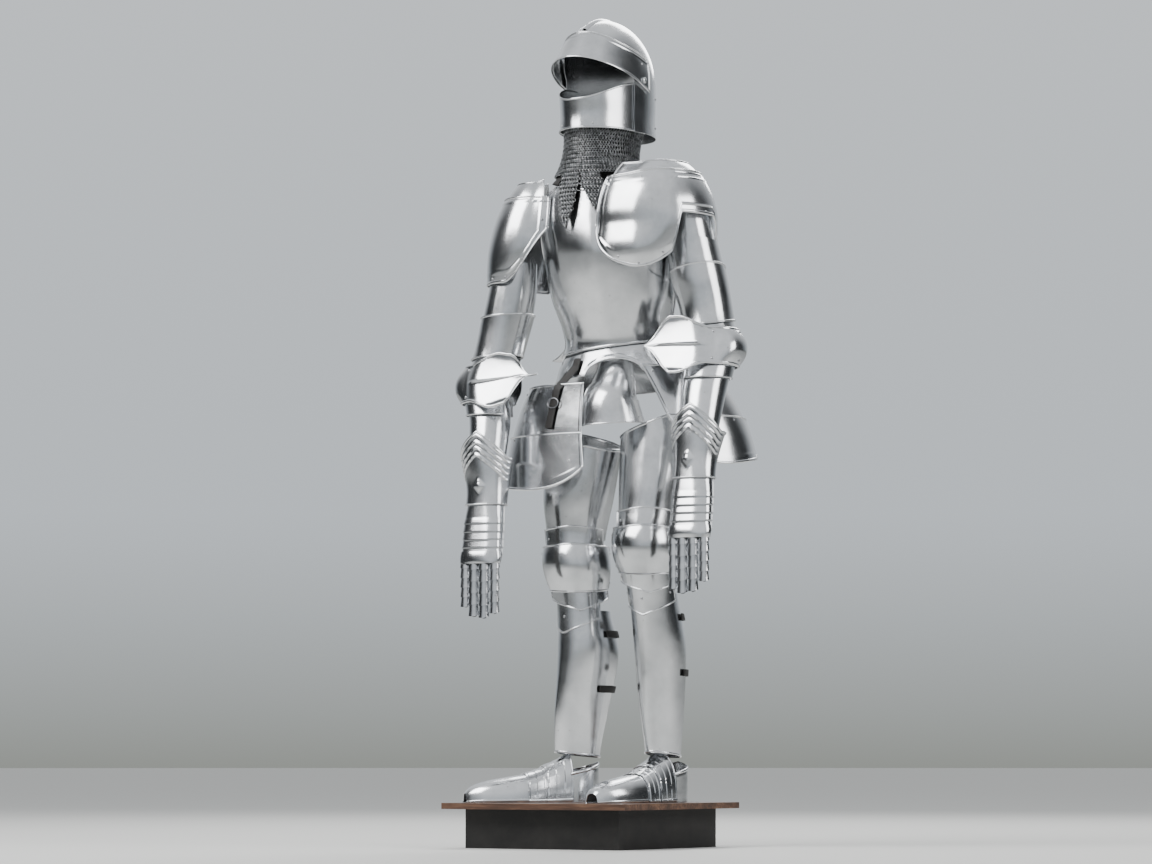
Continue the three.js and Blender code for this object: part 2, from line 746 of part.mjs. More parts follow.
function arm(at, side, up, upHand, tip) {
  const n = "_" + side;
  const z = (h) => h + up; // the left elbow hangs higher than the right
  const w = (h) => h + upHand;
  const m = side === "left" ? 1 : -1; // turns an angle to the outer side
  const ring = { ring: true, from: -180, to: 180, nu: 14 };
  if (side === "left") {
    add("spaulder_lame_1" + n, plate(at, {
      from: -36, to: 84, nu: 8, nv: 1, top: edge(1366, 0, 6), bottom: edge(1296, 4, -4), off: [-LAP - 1, -LAP - 1],
    }));
    add("spaulder_lame_2" + n, plate(at, {
      ...ring, nv: 1, top: edge(1302, 4, -2), bottom: edge(1218, 10, 12), off: [0, 0],
    }));
    add("rerebrace" + n, plate(at, {
      ...ring, nv: 2, top: edge(1232, 10, 12), bottom: edge(1104, -8, 4), off: [LAP, LAP],
    }));
  } else {
    add("rerebrace_upper" + n, plate(at, {
      ...ring, nv: 2, top: edge(1262, 0, 0), bottom: edge(1128, 0, 4), off: [-8, 0],
    }));
    add("rerebrace" + n, plate(at, {
      ...ring, nv: 2, top: edge(1140, 0, 4), bottom: edge(1038, 0, 6), off: [LAP, LAP],
    }));
  }
  const span = { from: -70 * m, to: 225 * m };
  add("couter_upper_lame" + n, plate(at, {
    ...span, nu: 14, nv: 1, top: edge(z(1056), 0, 0), bottom: edge(z(1014), 0, 0), off: [-1, 0],
  }));
  // Couter: a cup round the point of the elbow and a wing across its bend.
  const cup = 2 * LAP;
  const half = (d) => {
    if (d > 20 - tip) return 45 + 29 * smooth((20 - d) / 56);
    return 74 * (1 - Math.pow((20 - tip - d) / 20, 1.7)) + 1.5;
  };
  add("couter" + n, wall(22, 4, false, (u, v, s) => {
    const d = lerp(228, -tip, u);
    const t = rad(d * m);
    const out = d < 30 ? 12 * smooth((30 - d) / 40) : 0;
    const flat = d < 0 ? 72 * (1 / Math.cos(rad(d)) - 1) : 0;
    const bulge = d > 20 ? 16 * Math.cos((v - 0.5) * Math.PI) * smooth((d - 20) / 50) : 0;
    const h = z(988) + half(d) * (1 - 2 * v);
    return at(t, clamp(h, z(988) - 60, z(988) + 60), cup + out + flat + bulge - (s ? 0 : STEEL_T))
      .map((q, i) => (i === 2 ? q + h - clamp(h, z(988) - 60, z(988) + 60) : q));
  }));
  add("couter_lower_lame" + n, plate(at, {
    ...span, nu: 14, nv: 1, top: edge(z(960), 0, 0), bottom: edge(z(914), 0, 0), off: [0, 0],
  }));
  add("vambrace" + n, plate(at, {
    ...ring, nv: 2, top: edge(z(940), -14, 0), bottom: edge(w(790), 0, 0), off: [-LAP - 2.6, -LAP - 2.6],
  }));
  add("gauntlet_cuff" + n, plate(at, {
    ...ring, nu: 16, nv: 2, top: edge(w(812), 0, 0, 60, 80), bottom: edge(w(700), 0, 0), off: [12, 3],
    t: THIN_T,
  }));
  add("gauntlet_back" + n, plate(at, {
    from: -96, to: 96, nu: 10, nv: 2, top: edge(w(712), 0, 0), bottom: edge(w(578), 0, 0),
    off: [-1, -1], t: THIN_T,
  }));
  hand(at, side, w, m);
}

// Four finger plates hung from a knuckle lame, and the leather glove they are
// sewn to: across is the sideways place of each finger in the hand.
const FINGERS = [
  { across: -38, back: 8, len: 112, r: 12.2 },
  { across: -13.2, back: 2, len: 134, r: 12.8 },
  { across: 13.2, back: 2, len: 138, r: 12.8 },
  { across: 38, back: 8, len: 128, r: 12.2 },
];
function hand(at, side, w, m) {
  const front = at(0, w(570), 0);
  const rear = at(Math.PI, w(570), 0);
  const mid = [(front[0] + rear[0]) / 2, (front[1] + rear[1]) / 2];
  const yaw = rad(6);
  const place = (f) => {
    const lx = -f.across * m;
    const ly = -27.6 + f.r + f.back;
    return [
      mid[0] + lx * Math.cos(yaw) - ly * Math.sin(yaw),
      mid[1] + lx * Math.sin(yaw) + ly * Math.cos(yaw),
    ];
  };
  const top = w(576);
  let plates = plate(at, {
    from: -86, to: 86, nu: 10, nv: 1, top: edge(w(592), 0, 0), bottom: edge(w(564), 0, 0),
    off: [2.2, 2.2], t: THIN_T,
  });
  const body = (grow) => {
    const hi = w(grow < 0 ? 712 : 704);
    const lo = w(579) - grow;
    const rings = [];
    const pts = [];
    const tris = [];
    const n = 10;
    const rows = 2;
    for (let j = 0; j <= rows; j++) {
      const h = lerp(hi, lo, j / rows);
      rings.push(pts.length);
      for (let i = 0; i < n; i++) pts.push(at((2 * Math.PI * i) / n, h, -6 + grow));
    }
    for (let j = 0; j < rows; j++)
      for (let i = 0; i < n; i++) {
        const k = (i + 1) % n;
        const [a, b] = [rings[j], rings[j + 1]];
        tris.push([a + i, a + k, b + k], [a + i, b + k, b + i]);
      }
    for (let i = 1; i < n - 1; i++) {
      tris.push([rings[0], rings[0] + i + 1, rings[0] + i]);
      tris.push([rings[rows], rings[rows] + i, rings[rows] + i + 1]);
    }
    return solid(pts, tris);
  };
  let outer = body(0);
  let inner = body(-2);
  for (const f of FINGERS) {
    const [x, y] = place(f);
    const scales = 5;
    plates = plates.add(wall(4, 2 * scales - 1, false, (u, v, s) => {
      const j = Math.round(v * (2 * scales - 1));
      const k = Math.floor(j / 2) + (j % 2);
      const h = top - (f.len * k) / scales;
      const r = f.r - 0.25 * k + (j % 2 ? 1.1 : 0) - (s ? 0 : THIN_T);
      const phi = rad(lerp(-96, 96, u)) + yaw;
      return [x + r * Math.sin(phi), y - r * Math.cos(phi), h];
    }));
    const grown = (g) =>
      frustum(f.r - 3.6 + g, f.r - 6.8 + g, f.len + 2, [x, y, top - f.len + 6 - g]);
    outer = outer.add(grown(0));
    inner = inner.add(grown(-1.8).translate([0, 0, 4]));
  }
  // Thumb, folded behind the palm on the side next to the body.
  const thumb = (g) =>
    frustum(8 + g, 10 + g, 84, [mid[0] - 22 * m, mid[1] + 24, w(556) - g]);
  outer = outer.add(thumb(0));
  inner = inner.add(thumb(-1.8));
  add("gauntlet_fingers_" + side, plates);
  add("glove_" + side, outer.subtract(inner), DARK, 0.8, 0);
}
arm(armRight, "right", -14, -14, 66);
arm(armLeft, "left", 58, 36, 60);

export default suit;
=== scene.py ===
"""Suit of plate armour on a display base: finishes and fine shapes.

Every plate is a thin sheet laid on a body form. A form is a short table of
horizontal sections in millimetres above the base board, and a plate is a patch
of it between two angles and two edges. Angle 0 is the front, -Y, and angles
grow toward +X, the suit's own left.
"""

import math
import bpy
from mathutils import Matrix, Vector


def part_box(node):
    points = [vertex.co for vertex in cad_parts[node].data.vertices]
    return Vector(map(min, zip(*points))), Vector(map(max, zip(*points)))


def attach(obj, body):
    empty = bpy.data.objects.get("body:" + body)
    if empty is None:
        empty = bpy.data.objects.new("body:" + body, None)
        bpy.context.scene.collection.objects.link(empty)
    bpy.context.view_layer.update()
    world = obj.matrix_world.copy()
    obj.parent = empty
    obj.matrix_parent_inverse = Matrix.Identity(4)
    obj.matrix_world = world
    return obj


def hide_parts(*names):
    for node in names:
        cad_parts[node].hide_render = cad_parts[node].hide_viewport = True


bl_info = {
    "name": "Suit of plate armour",
    "version": (1, 0, 0),
    "blender": (4, 5, 0),
    "location": "3D View > Sidebar > Armour",
    "description": "Makes the plates, mail, gloves, straps and base of a suit of armour",
    "category": "Add Mesh",
}

import bpy
import numpy as np
from mathutils import Vector

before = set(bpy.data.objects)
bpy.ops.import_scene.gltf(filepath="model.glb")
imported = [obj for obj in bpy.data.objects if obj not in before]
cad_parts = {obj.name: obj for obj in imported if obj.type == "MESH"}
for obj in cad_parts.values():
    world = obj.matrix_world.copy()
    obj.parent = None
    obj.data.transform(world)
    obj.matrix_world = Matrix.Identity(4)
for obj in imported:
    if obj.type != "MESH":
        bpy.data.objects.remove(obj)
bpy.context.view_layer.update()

MM = 0.001
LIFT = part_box("base_board")[1][2] / MM + 0.4  # the soles stand this high
LAP = 3.2  # step between a lame and the one it laps over
PIVOT = (15.0, 44.0, 1690.0)  # the visor's axis passes here, along X
SKULL_R = 150.0
SKULL_A = 98.0
LEFT_KNEE = 38.0  # the left knee stands this much higher
ELBOW_UP = {"right": -14.0, "left": 58.0}
HAND_UP = {"right": -14.0, "left": 36.0}
WING_TIP = {"right": 66.0, "left": 60.0}

# ---- body forms: h, x, y, yaw, half width, front depth, rear depth, squareness, keel
TORSO = [
    (870, 48, 82, 20, 196, 158, 158, 2.1, 0),
    (950, 47, 78, 20, 176, 144, 144, 2.1, 0),
    (1010, 44, 72, 20, 158, 126, 128, 2.1, 0),
    (1066, 38, 60, 20, 126, 96, 100, 2.1, 5),
    (1110, 36, 55, 20, 128, 104, 100, 2.1, 9),
    (1180, 32, 48, 19, 146, 122, 108, 2.1, 12),
    (1270, 27, 38, 18, 154, 134, 114, 2.1, 12),
    (1350, 20, 32, 17, 158, 126, 112, 2.1, 10),
    (1410, 13, 27, 15, 150, 110, 104, 2.0, 7),
    (1445, 9, 25, 12, 112, 98, 92, 2.0, 4),
    (1475, 9, 28, 8, 84, 84, 82, 2.0, 0),
    (1510, 11, 34, 4, 70, 74, 76, 2.0, 0),
    (1600, 14, 40, 0, 66, 70, 76, 2.0, 0),
]
NECK = [
    (1592, 14, 40, 0, 84, 124, 108, 2.0, 0),
    (1548, 11, 34, 4, 80, 112, 100, 2.0, 0),
    (1500, 8, 28, 8, 86, 106, 98, 2.0, 0),
    (1462, 8, 25, 11, 106, 106, 98, 2.0, 0),
    (1430, 10, 26, 13, 138, 119, 108, 2.0, 4),
    (1360, 19, 32, 17, 178, 142, 124, 2.1, 10),
]
FORK = [
    (1062, 62, 16, 18, 30, 26, 20, 2, 0),
    (1000, 65, 4, 18, 46, 38, 20, 2, 0),
    (940, 67, -18, 18, 60, 60, 20, 2, 0),
    (868, 68, -14, 18, 78, 76, 20, 2, 0),
]
HIPS = [
    (1030, 46, 78, 20, 184, 148, 150, 2.1, 0),
    (960, 48, 84, 20, 238, 154, 190, 2.1, 0),
    (860, 50, 92, 20, 280, 176, 230, 2.1, 0),
    (700, 50, 100, 20, 310, 206, 260, 2.1, 0),
]
LEG = {
    "right": [
        (900, -40, 50, 0, 90, 88, 88, 2.1, 0),
        (720, -57, 34, 10, 84, 86, 84, 2.1, 0),
        (632, -60, 28, 24, 72, 74, 72, 2.1, 0),
        (582, -60, 26, 30, 68, 72, 70, 2.1, 2),
        (532, -56, 27, 30, 62, 64, 68, 2.1, 4),
        (440, -46, 30, 30, 60, 62, 66, 2.1, 5),
    ],
    "left": [
        (930, 128, 100, 14, 90, 88, 90, 2.1, 0),
        (750, 130, 64, 18, 80, 84, 82, 2.1, 0),
        (680, 130, 44, 26, 72, 75, 73, 2.1, 0),
        (626, 130, 32, 30, 68, 72, 70, 2.1, 2),
        (576, 131, 32, 30, 62, 66, 68, 2.1, 4),
        (480, 134, 48, 30, 60, 62, 72, 2.1, 5),
    ],
}
SHIN = {
    "right": [
        (520, -50, 28, -4, 60, 62, 72, 2.1, 4),
        (440, -45, 28, -8, 60, 60, 88, 2.1, 5),
        (352, -42, 28, -16, 64, 64, 104, 2.1, 5),
        (219, -50, 24, -26, 52, 64, 82, 2.1, 5),
        (130, -54, 22, -36, 43, 58, 64, 2.1, 4),
        (60, -54, 22, -40, 40, 50, 56, 2.1, 3),
    ],
    "left": [
        (560, 132, 36, 10, 60, 62, 74, 2.1, 4),
        (480, 135, 52, 8, 60, 60, 84, 2.1, 5),
        (375, 139, 70, 4, 62, 64, 92, 2.1, 5),
        (231, 138, 80, 0, 53, 62, 82, 2.1, 5),
        (130, 140, 86, -4, 43, 54, 62, 2.1, 4),
        (60, 140, 88, -6, 39, 49, 54, 2.1, 3),
    ],
}
ARM = {
    "right": [
        (1400, -166, -48, 10, 58, 64, 62, 2.1, 0),
        (1300, -174, -55, 10, 58, 62, 62, 2.1, 0),
        (1185, -184, -62, 8, 60, 62, 62, 2.1, 0),
        (1060, -206, -78, 6, 55, 57, 58, 2.1, 0),
        (976, -226, -96, 6, 56, 58, 62, 2.1, 0),
        (884, -200, -128, 6, 53, 54, 54, 2.1, 0),
        (804, -190, -152, 6, 49, 48, 46, 2.1, 0),
        (724, -180, -166, 6, 44, 38, 38, 2.2, 0),
        (644, -174, -188, 6, 50, 30, 32, 2.4, 0),
        (554, -169, -206, 6, 50, 26, 26, 2.6, 0),
    ],
    "left": [
        (1420, 226, 50, 18, 56, 70, 68, 2.1, 0),
        (1320, 238, 54, 18, 60, 66, 64, 2.1, 0),
        (1208, 260, 60, 16, 63, 66, 66, 2.1, 0),
        (1130, 280, 60, 12, 58, 60, 62, 2.1, 0),
        (1046, 300, 46, 8, 60, 60, 66, 2.1, 0),
        (950, 306, 8, 6, 56, 56, 58, 2.1, 0),
        (860, 312, -26, 6, 51, 49, 49, 2.1, 0),
        (780, 315, -50, 6, 45, 38, 38, 2.2, 0),
        (700, 324, -76, 6, 50, 30, 32, 2.4, 0),
        (610, 329, -96, 6, 50, 26, 26, 2.6, 0),
    ],
}
# Foot: distance ahead of the ankle, half width, height of the arch, its sideways set.
FOOT = [
    (-66, 30, 66, 0),
    (-40, 42, 104, 0),
    (0, 47, 112, 0),
    (50, 48, 90, 2),
    (110, 52, 68, 4),
    (170, 51, 57, 4),
    (220, 42, 47, 2),
    (252, 26, 33, 0),
    (266, 12, 17, 0),
]
ANKLE = {"right": (-58, 14, -42), "left": (140, 88, -6)}  # x, y, yaw
# Helmet below the visor's axis: height, half width, front depth, rear depth.
LOWER_HELM = [
    (1690, 98, 150, 150),
    (1640, 98, 148, 150),
    (1600, 97, 145, 149),
    (1566, 99, 147, 152),
]
FINGERS = [  # sideways place, set back, length, radius
    (-38, 8, 112, 12.2),
    (-13.2, 2, 134, 12.8),
    (13.2, 2, 138, 12.8),
    (38, 8, 128, 12.2),
]

rad = math.radians


def arrays(*values):
    """The values as float arrays of one shape."""
    return np.broadcast_arrays(*(np.asarray(v, float) for v in values))


def turned(x, y, z, lx, ly, yaw):
    """Points at x, y, z, moved by lx, ly turned through a yaw in radians."""
    c, s = np.cos(yaw), np.sin(yaw)
    return np.stack(arrays(x + lx * c - ly * s, y + lx * s + ly * c, z), -1)


def smooth(x):
    """0 below 0, 1 above 1, and an even S between."""
    k = np.clip(x, 0, 1)
    return k * k * (3 - 2 * k)


def signed_power(x, p):
    """A power of the size of x, with the sign of x."""
    return np.sign(x) * np.abs(x) ** p


def row_at(rows, h):
    """The columns of a table at heights h, by a cubic through its rows."""
    t = np.array(sorted(rows), float)
    h = np.asarray(h, float)
    i = np.clip(np.searchsorted(t[:, 0], h, side="right") - 1, 0, len(t) - 2)
    a, b = t[i], t[i + 1]
    p, q = t[np.maximum(i - 1, 0)], t[np.minimum(i + 2, len(t) - 1)]
    d = b[..., :1] - a[..., :1]
    k = np.clip((h[..., None] - a[..., :1]) / d, 0, 1)
    slope_a = (b - p) / (b[..., :1] - p[..., :1]) * d
    slope_b = (q - a) / (q[..., :1] - a[..., :1]) * d
    k2, k3 = k * k, k * k * k
    out = (2 * k3 - 3 * k2 + 1) * a + (k3 - 2 * k2 + k) * slope_a
    out += (3 * k2 - 2 * k3) * b + (k3 - k2) * slope_b
    return np.moveaxis(out, -1, 0)


def form(rows, keel_width=50.0):
    """A body form: at(angle, height, offset) gives points in millimetres."""

    def base(th, h):
        _, x, y, yaw, a, bf, bb, n, keel = row_at(rows, h)
        s, c = np.sin(th), np.cos(th)
        lx = a * signed_power(s, 2 / n)
        ly = -np.where(c > 0, bf, bb) * signed_power(c, 2 / n)
        turn = np.abs(np.arctan2(s, c))
        ly = ly - keel * np.maximum(0, 1 - turn / rad(keel_width)) ** 1.3
        return turned(x, y, h, lx, ly, np.radians(yaw))

    def at(th, h, off=0.0):
        th, h, off = arrays(th, h, off)
        u = base(th + 0.02, h) - base(th - 0.02, h)
        v = base(th, h + 2) - base(th, h - 2)
        m = np.cross(u, v)
        m /= np.linalg.norm(m, axis=-1, keepdims=True) + 1e-9
        return base(th, h) + m * off[..., None]

    return at


def helm(th, h, off=0.0):
    """Helmet form: a round skull above the visor's axis, straight below it."""
    th, h, off = arrays(th, h, off)
    s, c = np.sin(th), np.cos(th)
    _, a, bf, bb = row_at(LOWER_HELM, np.minimum(h, PIVOT[2]))
    rise = np.arcsin(np.clip((h - PIVOT[2]) / SKULL_R, 0, 1))
    k = np.cos(rise)
    z = np.where(h > PIVOT[2], PIVOT[2] + (SKULL_R + off) * np.sin(rise), h)
    x = PIVOT[0] + (a + off) * k * s
    y = PIVOT[1] - (np.where(c > 0, bf, bb) + off) * k * c
    return np.stack([x, y, z], -1)


def dome(cx, cy, cz, a, b0, c0, yaw, lean=0.0):
    """A shoulder dome: angle round it, angle up it in radians, offset."""

    def at(th, b, off=0.0):
        th, b, off = arrays(th, b, off)
        lx = (a + off) * np.cos(b) * np.sin(th) + lean * c0 * np.sin(b)
        ly = -(b0 + off) * np.cos(b) * np.cos(th)
        return turned(cx, cy, cz + (c0 + off) * np.sin(b), lx, ly, rad(yaw))

    return at


def foot_form(side):
    """A foot form: angle over the arch, distance ahead of the ankle, offset."""
    x0, y0, yaw = ANKLE[side]

    def at(phi, d, off=0.0):
        phi, d, off = arrays(phi, d, off)
        _, a, c, m = row_at(FOOT, d)
        lx = m + np.maximum(1.5, a + off) * signed_power(np.sin(phi), 0.8)
        lz = np.maximum(2.5, c + off) * np.maximum(0, np.cos(phi)) ** 0.75
        return turned(x0, y0, lz, lx, -d, rad(yaw))

    return at


def edge(h, f=0.0, s=0.0, v=0.0, w=90.0):
    """An edge round a form: f tips it at the front, s to the left, v is a point."""
    return lambda th: h + f * np.cos(th) + s * np.sin(th) + v * np.maximum(0, 1 - np.abs(th) / rad(w))


def bead(d, width, height):
    """Half-round swelling between 0 and width from an edge."""
    x = (d - width / 2) / (width / 2)
    return height * np.sqrt(np.maximum(0, 1 - x * x))


def ridge(d, width, height):
    """A soft raised line of the given width where d is 0."""
    return height * np.maximum(0, 1 - (d / width) ** 2) ** 2


# ---- materials ------------------------------------------------------------------
def linear(hex_colour):
    """sRGB hex to a linear colour."""
    parts = [int(hex_colour[i : i + 2], 16) / 255 for i in (1, 3, 5)]
    return tuple(c / 12.92 if c <= 0.04045 else ((c + 0.055) / 1.055) ** 2.4 for c in parts) + (1.0,)


def add_node(tree, kind, links=None, **settings):
    """Adds a node, sets its sockets and properties, and links its inputs."""
    node = tree.nodes.new(kind)
    for key, value in settings.items():
        if key in node.inputs:
            node.inputs[key].default_value = value
        else:
            setattr(node, key, value)
    for socket, source in (links or {}).items():
        tree.links.new(source, node.inputs[socket])
    return node


def new_material(name):
    """An empty material with its shader and its object coordinates."""
    mat = bpy.data.materials.new(name)
    mat.use_nodes = True
    tree = mat.node_tree
    tree.nodes.clear()
    shader = add_node(tree, "ShaderNodeBsdfPrincipled")
    out = add_node(tree, "ShaderNodeOutputMaterial", {"Surface": shader.outputs["BSDF"]})
    out.is_active_output = True
    coords = add_node(tree, "ShaderNodeTexCoord").outputs["Object"]
    return mat, tree, shader, coords


def ramp(tree, factor, stops):
    """Colour ramp from (position, hex or linear colour) pairs."""
    node = add_node(tree, "ShaderNodeValToRGB", {"Fac": factor})
    points = node.color_ramp.elements
    while len(points) < len(stops):
        points.new(0.5)
    for point, (place, colour) in zip(points, stops):
        point.position = place
        point.color = linear(colour) if isinstance(colour, str) else colour
    return node.outputs["Color"]


def span(tree, value, low, high):
    """Maps a 0-1 value to low-high."""
    node = add_node(tree, "ShaderNodeMapRange", {"Value": value})
    node.inputs["To Min"].default_value = low
    node.inputs["To Max"].default_value = high
    return node.outputs["Result"]


def noise(tree, vector, size_mm, detail=3.0, rough=0.5):
    """Noise whose spots are about size_mm across."""
    scale = 1 / (size_mm * MM)
    node = add_node(
        tree, "ShaderNodeTexNoise", {"Vector": vector}, Scale=scale, Detail=detail, Roughness=rough
    )
    return node.outputs["Fac"]


def cells(tree, vector, size_mm):
    """Distance to the nearest of points about size_mm apart."""
    scale = 1 / (size_mm * MM)
    node = add_node(tree, "ShaderNodeTexVoronoi", {"Vector": vector}, Scale=scale, Randomness=1.0)
    return node.outputs["Distance"]


def bumps(tree, *layers):
    """Chained bumps from (height socket, depth in mm) pairs."""
    normal = None
    for height, depth_mm in layers:
        links = {"Height": height}
        if normal is not None:
            links["Normal"] = normal
        node = add_node(tree, "ShaderNodeBump", links, Strength=1.0, Distance=depth_mm * MM)
        normal = node.outputs["Normal"]
    return normal


def coat(tree, shader, colour, roughness, *layers):
    """Links a shader's colour, roughness and bump layers."""
    tree.links.new(colour, shader.inputs["Base Color"])
    tree.links.new(roughness, shader.inputs["Roughness"])
    if layers:
        tree.links.new(bumps(tree, *layers), shader.inputs["Normal"])


def steel_plate(name, tone, gloss):
    """Hand-planished mild steel plate, polished on a mop: bright, faintly uneven
    reflections from the hammer work, hair-fine polishing lines, a few brown pits."""
    mat, tree, shader, coords = new_material(name)
    planish = noise(tree, coords, 46, 1.0)
    cloud = noise(tree, coords, 85, 4.0, 0.6)
    stretch = add_node(tree, "ShaderNodeMapping", {"Vector": coords}, Scale=(1.0, 1.0, 0.06)).outputs[0]
    lines = noise(tree, stretch, 1.6, 2.0, 0.7)
    body = ramp(tree, cloud, [(0.32, tone[0]), (0.62, tone[1])])
    pit = add_node(tree, "ShaderNodeMath", {0: cells(tree, coords, 23)}, operation="LESS_THAN")
    pit.inputs[1].default_value = 0.045
    colour = add_node(tree, "ShaderNodeMix", {"Factor": pit.outputs[0]}, data_type="RGBA")
    tree.links.new(body, colour.inputs[6])
    colour.inputs[7].default_value = linear("#4a4037")
    shader.inputs["Metallic"].default_value = 1.0
    wear = add_node(tree, "ShaderNodeMath", {0: span(tree, cloud, *gloss)}, operation="ADD")
    tree.links.new(span(tree, lines, -0.03, 0.05), wear.inputs[1])
    coat(tree, shader, colour.outputs[2], wear.outputs[0], (planish, 0.55), (lines, 0.012))
    return mat


def mail_wire():
    """Drawn iron wire, oiled and darkened, worn bright on top of each ring."""
    mat, tree, shader, coords = new_material("oiled_iron_wire")
    grime = noise(tree, coords, 7, 3.0)
    shader.inputs["Metallic"].default_value = 1.0
    colour = ramp(tree, grime, [(0.35, colours().wire_dark), (0.65, colours().wire_light)])
    coat(tree, shader, colour, span(tree, grime, 0.28, 0.5))
    return mat


def black_leather(name, low, high):
    """Waxed cowhide, dyed black: fine pebble grain with a dull sheen on its crests."""
    mat, tree, shader, coords = new_material(name)
    grain = cells(tree, coords, 1.6)
    cloud = noise(tree, coords, 24, 3.0)
    colour = ramp(tree, cloud, [(0.3, low), (0.7, high)])
    coat(tree, shader, colour, span(tree, cloud, 0.5, 0.72), (cloud, 0.5), (grain, 0.18))
    return mat


def stained_board():
    """Planed softwood board under brown stain: long grain lines, dull varnish."""
    mat, tree, shader, coords = new_material("stained_pine_board")
    along = add_node(tree, "ShaderNodeMapping", {"Vector": coords}, Scale=(0.07, 1.0, 1.0)).outputs[0]
    grain = noise(tree, along, 5.5, 5.0, 0.65)
    broad = noise(tree, along, 34, 2.0)
    mix = add_node(tree, "ShaderNodeMath", {0: grain, 1: broad}, operation="MULTIPLY")
    stops = [(0.12, "#2b1d14"), (0.26, colours().board_stain), (0.4, "#7a5a44")]
    colour = ramp(tree, mix.outputs[0], stops)
    coat(tree, shader, colour, span(tree, grain, 0.42, 0.62), (grain, 0.25))
    return mat


def painted_plinth():
    """Board box rolled with matt black paint: faint orange peel and scuffs."""
    mat, tree, shader, coords = new_material("matt_black_paint")
    peel = noise(tree, coords, 2.2, 2.0)
    scuff = noise(tree, coords, 60, 5.0, 0.7)
    colour = ramp(tree, scuff, [(0.4, colours().plinth_paint), (0.75, "#2a2826")])
    coat(tree, shader, colour, span(tree, scuff, 0.55, 0.8), (peel, 0.08))
    return mat


def studio_paper():
    """Seamless pale studio paper for the floor."""
    mat, tree, shader, coords = new_material("studio_paper")
    tooth = noise(tree, coords, 3, 2.0)
    colour = ramp(tree, tooth, [(0.3, colours().paper), (0.7, "#d0d0cd")])
    tree.links.new(colour, shader.inputs["Base Color"])
    shader.inputs["Roughness"].default_value = 0.85
    return mat


def sizes():
    """The sizes that a user can change."""
    return bpy.context.scene.suit_sizes


def colours():
    """The colours that a user can change."""
    return bpy.context.scene.suit_colours


FINISHES = {}


def finish_named(name):
    """The shared materials, each made once."""
    tone = colours()
    makers = {
        "steel": lambda: steel_plate("polished_steel", (tone.steel_dark, tone.steel_light), (0.13, 0.24)),
        "rivet": lambda: steel_plate("rivet_steel", (tone.rivet_dark, tone.rivet_light), (0.2, 0.34)),
        "mail": mail_wire,
        "leather": lambda: black_leather("waxed_black_leather", tone.leather_dark, tone.leather_light),
        # painted shade: a near-black finish for the sheet under the mail, standing in for the dark seen
        # behind the rings
        "mail_shade": lambda: black_leather("painted_shade_behind_mail", "#050505", "#0e0d0c"),
        "board": stained_board,
        "plinth": painted_plinth,
        "paper": studio_paper,
    }
    if name not in FINISHES:
        FINISHES[name] = makers[name]()
    return FINISHES[name]


# ---- shaping helpers ----------------------------------------------------------------
def select_only(obj):
    """Selects one object and makes it active."""
    bpy.ops.object.select_all(action="DESELECT")
    obj.select_set(True)
    bpy.context.view_layer.objects.active = obj


def apply_modifier(obj, kind, **settings):
    """Adds a modifier with its settings and applies it."""
    select_only(obj)
    mod = obj.modifiers.new(kind.lower(), kind)
    for key, value in settings.items():
        setattr(mod, key, value)
    bpy.ops.object.modifier_apply(modifier=mod.name)


def in_edit(obj, *steps):
    """Runs edit-mode operators on all of an object."""
    select_only(obj)
    bpy.ops.object.mode_set(mode="EDIT")
    bpy.ops.mesh.select_all(action="SELECT")
    for step in steps:
        step()
    bpy.ops.object.mode_set(mode="OBJECT")


def dress(obj, name, finish, slot, body="suit", node=None, angle=38.0):
    """Names, smooths and colours a finished piece and hands it to the frame."""
    obj.name = name
    obj.data.name = name
    obj.data.materials.clear()
    obj.data.materials.append(finish_named(finish))
    select_only(obj)
    bpy.ops.object.shade_smooth_by_angle(angle=rad(angle))
    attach(obj, body)
    if node:
        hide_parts(*([node] if isinstance(node, str) else node))
    return obj


def shaped_grid(points, ring, flip):
    """A grid primitive shaped to rows of points, the first row the top edge."""
    rows, cols = points.shape[0] - 1, points.shape[1] - 1
    bpy.ops.object.select_all(action="DESELECT")
    bpy.ops.mesh.primitive_grid_add(x_subdivisions=cols, y_subdivisions=rows, size=2)
    obj = bpy.context.object
    flat = np.empty(len(obj.data.vertices) * 3)
    obj.data.vertices.foreach_get("co", flat)
    flat = flat.reshape(-1, 3)
    i = np.rint((flat[:, 0] + 1) / 2 * cols).astype(int)
    j = np.rint((1 - flat[:, 1]) / 2 * rows).astype(int)
    place = points[j, i] * MM
    place[:, 2] += LIFT * MM
    obj.data.vertices.foreach_set("co", place.ravel())
    obj.data.update()
    steps = []
    if ring:
        steps.append(lambda: bpy.ops.mesh.remove_doubles(threshold=0.02 * MM))
    if flip:
        steps.append(bpy.ops.mesh.flip_normals)
    if steps:
        in_edit(obj, *steps)
    return obj


ROLL = np.array([0.0, 0.12, 0.3, 0.5, 0.72, 0.9, 1.0])  # places across a rolled edge


def spread(length, count, roll_a, roll_b):
    """Places 0..1 along a length in mm, with rows for the rolled edges."""
    a = ROLL * roll_a / length if roll_a else np.array([0.0])
    b = 1 - (ROLL * roll_b / length)[::-1] if roll_b else np.array([1.0])
    inner = np.linspace(a[-1], b[0], count + 1)[1:-1]
    return np.concatenate([a, inner, b])


